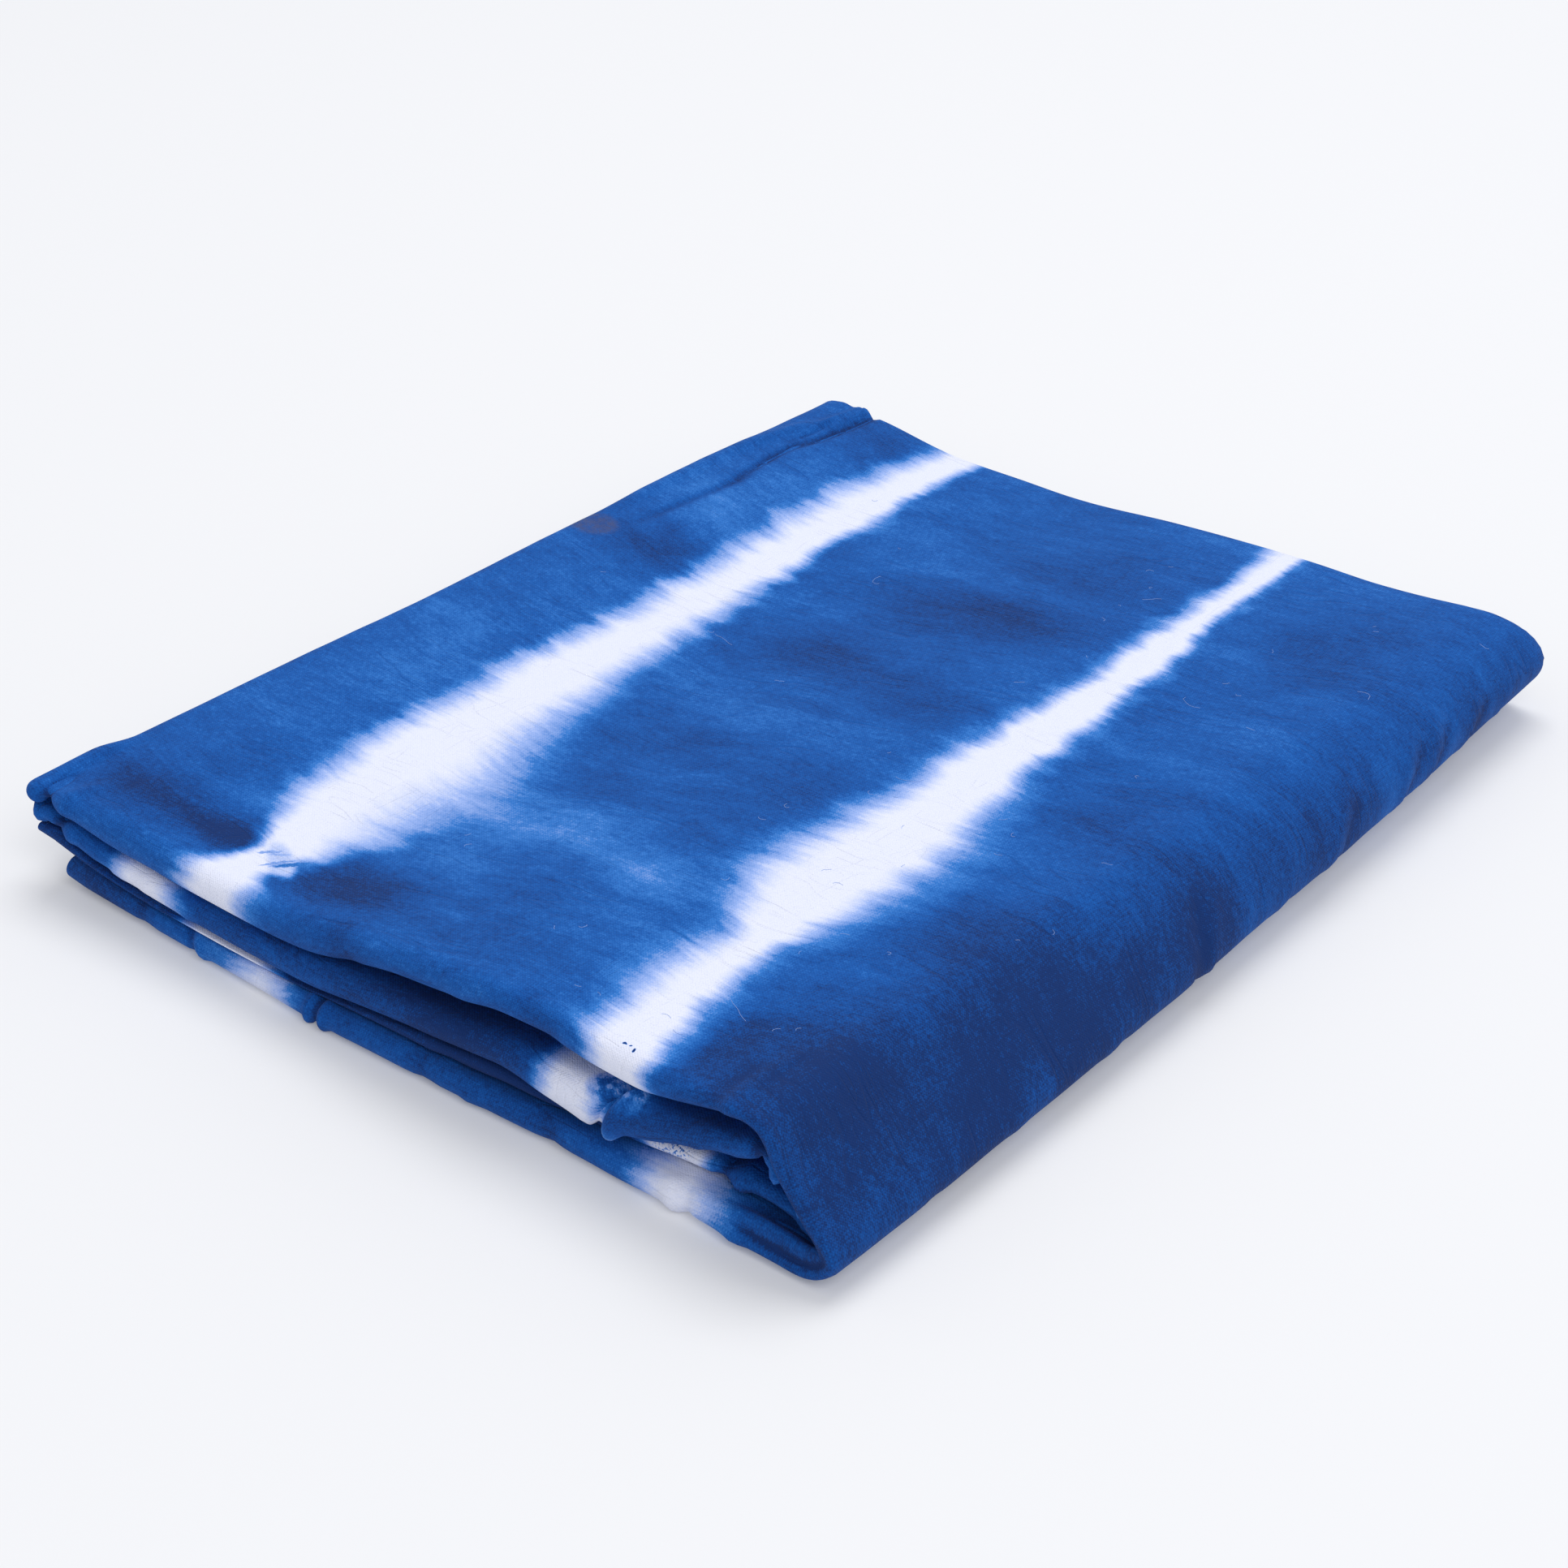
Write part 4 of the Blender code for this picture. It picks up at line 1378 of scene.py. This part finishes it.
def shibori_cotton(settings):
    """Indigo dyed plain-weave cotton."""
    material, surface = new_material("shibori_cotton", COTTON_SURFACE)
    tree = material.node_tree
    cloth = add_node(tree, "UVMap", uv_map="cloth").outputs[0]
    dye = shared_group(tree, "resist_dye", resist_dye_group)
    weave = shared_group(tree, "plain_weave", plain_weave_group)
    creases = shared_group(tree, "fine_creases", fine_crease_group)
    marks = shared_group(tree, "tie_marks", tie_mark_group)
    for node in (dye, weave, creases):
        tree.links.new(cloth, node.inputs["Cloth"])
    for key in ("Resist", "Feather", "Halo", "Tone"):
        attribute = add_node(tree, "Attribute", attribute_name=key.lower())
        tree.links.new(attribute.outputs["Fac"], dye.inputs[key])
    weave.inputs["Pitch"].default_value = settings.thread_pitch
    tree.links.new(add_node(tree, "TexCoord").outputs["Object"], marks.inputs["Place"])
    tree.links.new(dye.outputs["Density"], marks.inputs["Density"])
    density = marks.outputs["Density"]
    tint = times(tree, density, THREAD_TINT, UNDYED_THREAD_TINT)
    threaded = times(tree, weave.outputs["Tint"], tint, density)
    # Painted shade along the fine creases darkens the colour
    crease_shade = times(tree, density, FINE_CREASE_SHADE)
    ramp = add_node(tree, "ValToRGB", times(tree, creases.outputs["Depth"], crease_shade, threaded))
    elements = ramp.color_ramp.elements
    while len(elements) < len(DYE_STOPS):
        elements.new(0.5)
    for element, (key, position) in zip(elements, DYE_STOPS):
        element.position = position
        element.color = getattr(settings, key)
    stained = add_node(tree, "Mix", times(tree, marks.outputs["Stain"], STAIN_SHARE),
                       data_type="RGBA")
    tree.links.new(ramp.outputs[0], stained.inputs[6])
    stained.inputs[7].default_value = settings.stain
    tree.links.new(stained.outputs[2], surface.inputs["Base Color"])
    relief = times(tree, weave.outputs["Height"], THREAD_RELIEF)
    relief = times(tree, creases.outputs["Depth"], CREASE_RELIEF, relief)
    bump = add_node(tree, "Bump")
    bump.inputs["Strength"].default_value = 1.0
    bump.inputs["Distance"].default_value = 1.0
    tree.links.new(relief, bump.inputs["Height"])
    tree.links.new(bump.outputs[0], surface.inputs["Normal"])
    return material


def get_cotton(settings):
    """The cloth's one material, made the first time it is asked for."""
    return bpy.data.materials.get("shibori_cotton") or shibori_cotton(settings)


class SHIBORI_OT_outer_sheet(bpy.types.Operator):
    """The folded sheet with its hems, creases and tucks"""

    bl_idname = "shibori.outer_sheet"
    bl_label = "Folded sheet"

    def execute(self, context):
        settings = context.scene.shibori_cloth
        strip = Strip(OUTER_STEPS)
        creases = strip.crease_lift(settings.crease_depth)
        strip.lift(creases + strip.ripple_lift(settings.ripple_height, OUTER_RIPPLE_SEED))
        strip.points[:, :, 2] = np.maximum(strip.points[:, :, 2], LOWEST_POINT)
        sheet = build_sheet("folded_sheet", strip, dye_fields(strip, creases))
        sheet.data.materials.append(get_cotton(settings))
        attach(sheet, "root")
        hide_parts("folded_cloth")
        return {"FINISHED"}


class SHIBORI_OT_inner_plies(bpy.types.Operator):
    """The plies between the outer ones of each layer"""

    bl_idname = "shibori.inner_plies"
    bl_label = "Inner plies"

    def execute(self, context):
        settings = context.scene.shibori_cloth
        pairs = settings.inner_pairs
        for pair in range(pairs):
            spread = 1.0 - (pair + 1.0) / (pairs + INNERMOST_SHARE)
            strip = Strip(INNER_STEPS, spread, pair + INNER_SEED, INNER_WANDER)
            strip.lift(strip.ripple_lift(settings.ripple_height * INNER_RIPPLE_SHARE,
                                         INNER_RIPPLE_SEED + pair))
            plies = build_sheet(f"inner_plies_{pair + 1}", strip, dye_fields(strip))
            plies.data.materials.append(get_cotton(settings))
            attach(plies, "root")
        return {"FINISHED"}


def fibre_points(chance, surface, number):
    """A short curly path over the cloth, from a chance place, as points on it."""
    reach_x, reach_y = RIGHT_LINT if number % LEFT_FIBRE_STEP else LEFT_LINT
    place = Vector((chance.uniform(*reach_x), chance.uniform(*reach_y), ABOVE_CLOTH))
    length = chance.uniform(*(SHORT_FIBRE if number % LONG_FIBRE_STEP else LONG_FIBRE))
    turn = chance.uniform(0.0, 2.0 * math.pi)
    bend = chance.uniform(-FIBRE_CURL, FIBRE_CURL)
    points = []
    for _ in range(FIBRE_POINTS):
        found, normal, _, _ = surface.ray_cast(place, Vector((0.0, 0.0, -1.0)))
        if found is None:
            return []
        points.append(found + normal * LINT_LIFT)
        turn += bend + chance.uniform(-FIBRE_CURL, FIBRE_CURL)
        step = length / (FIBRE_POINTS - 1)
        place = place + Vector((math.cos(turn), math.sin(turn), 0.0)) * step
    return points


class SHIBORI_OT_lint(bpy.types.Operator):
    """Short pale fibres of lint lying on the cloth"""

    bl_idname = "shibori.lint"
    bl_label = "Lint"

    def execute(self, context):
        sheet = bpy.data.objects.get("folded_sheet")
        if sheet is None:
            raise RuntimeError("The folded sheet comes before its lint")
        settings = context.scene.shibori_cloth
        chance = random.Random(LINT_SEED)
        surface = BVHTree.FromObject(sheet, context.evaluated_depsgraph_get())
        bpy.ops.object.select_all(action="DESELECT")
        bpy.ops.curve.primitive_nurbs_path_add(location=(0.0, 0.0, 0.0))
        lint = context.active_object
        lint.name = "lint"
        curve = lint.data
        curve.splines.clear()
        curve.bevel_depth = settings.lint_width / 2.0
        curve.bevel_resolution = 0
        curve.use_fill_caps = True
        for number in range(settings.lint_count):
            points = fibre_points(chance, surface, number)
            if not points:
                continue
            spline = curve.splines.new("POLY")
            spline.points.add(len(points) - 1)
            for target, point in zip(spline.points, points):
                target.co = (*point, 1.0)
        bpy.ops.object.convert(target="MESH")
        lint = context.active_object
        material, _ = new_material(
            "lint_fibre", {"Base Color": settings.lint_colour, "Roughness": 0.9})
        lint.data.materials.clear()
        lint.data.materials.append(material)
        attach(lint, "root")
        return {"FINISHED"}


def add_softbox(context, name, place, power):
    """A large soft light aimed at the bundle."""
    light = bpy.data.lights.new(name, "AREA")
    light.shape = "RECTANGLE"
    light.size, light.size_y = SOFTBOX_SIZE
    light.energy = power
    lamp = bpy.data.objects.new(name, light)
    lamp.location = place
    lamp.rotation_euler = (-Vector(place)).to_track_quat("-Z", "Y").to_euler()
    context.scene.collection.objects.link(lamp)


class SHIBORI_OT_stage(bpy.types.Operator):
    """Pale floor, soft light and the camera"""

    bl_idname = "shibori.stage"
    bl_label = "Stage"

    def execute(self, context):
        stage = context.scene.shibori_stage
        bpy.ops.object.select_all(action="DESELECT")
        bpy.ops.mesh.primitive_plane_add(size=stage.floor_size, location=(0.0, 0.0, 0.0))
        floor = context.active_object
        floor.name = "stage_floor"
        material, _ = new_material("pale_floor", {
            "Base Color": stage.floor_colour, "Roughness": 0.8, "Specular IOR Level": 0.1,
            "Emission Color": stage.floor_colour, "Emission Strength": stage.floor_glow})
        floor.data.materials.append(material)
        world = bpy.data.worlds.new("soft_room")
        world.use_nodes = True
        sky = world.node_tree.nodes["Background"]
        sky.inputs["Color"].default_value = SKY_COLOUR
        sky.inputs["Strength"].default_value = stage.sky_strength
        context.scene.world = world
        add_softbox(context, "main_softbox", KEY_PLACE, stage.key_power)
        add_softbox(context, "fill_softbox", FILL_PLACE, stage.fill_power)
        view = bpy.data.cameras.new("camera")
        view.sensor_width = SENSOR_WIDTH
        view.lens = CAMERA_FOCAL * SENSOR_WIDTH / IMAGE_SIZE
        view.clip_start = CLIP_START
        view.dof.use_dof = False
        camera = bpy.data.objects.new("camera", view)
        camera.location = CAMERA_PLACE
        camera.rotation_euler = (math.pi / 2.0 - CAMERA_PITCH, 0.0, CAMERA_HEADING)
        context.scene.collection.objects.link(camera)
        context.scene.camera = camera
        context.scene.view_settings.view_transform = "Standard"
        context.scene.view_settings.look = "None"
        return {"FINISHED"}


class SHIBORI_PT_panel(bpy.types.Panel):
    """Sizes, colours and pieces of the cloth"""

    bl_idname = "SHIBORI_PT_panel"
    bl_label = "Folded shibori cloth"
    bl_space_type = "VIEW_3D"
    bl_region_type = "UI"
    bl_category = "Shibori"

    def draw(self, context):
        for settings in (context.scene.shibori_cloth, context.scene.shibori_stage):
            for key in settings.__annotations__:
                self.layout.prop(settings, key)
        for operator in OPERATORS:
            self.layout.operator(operator.bl_idname)


OPERATORS = (SHIBORI_OT_stage, SHIBORI_OT_outer_sheet, SHIBORI_OT_inner_plies, SHIBORI_OT_lint)
CLASSES = (ShiboriCloth, ShiboriStage, *OPERATORS, SHIBORI_PT_panel)


def register():
    for item in CLASSES:
        bpy.utils.register_class(item)
    bpy.types.Scene.shibori_cloth = bpy.props.PointerProperty(type=ShiboriCloth)
    bpy.types.Scene.shibori_stage = bpy.props.PointerProperty(type=ShiboriStage)


def unregister():
    del bpy.types.Scene.shibori_stage
    del bpy.types.Scene.shibori_cloth
    for item in reversed(CLASSES):
        bpy.utils.unregister_class(item)


def main():
    register()
    bpy.ops.object.select_all(action="DESELECT")
    bpy.ops.shibori.stage()
    bpy.ops.shibori.outer_sheet()
    bpy.ops.shibori.inner_plies()
    bpy.ops.shibori.lint()


if __name__ == "__main__":
    main()
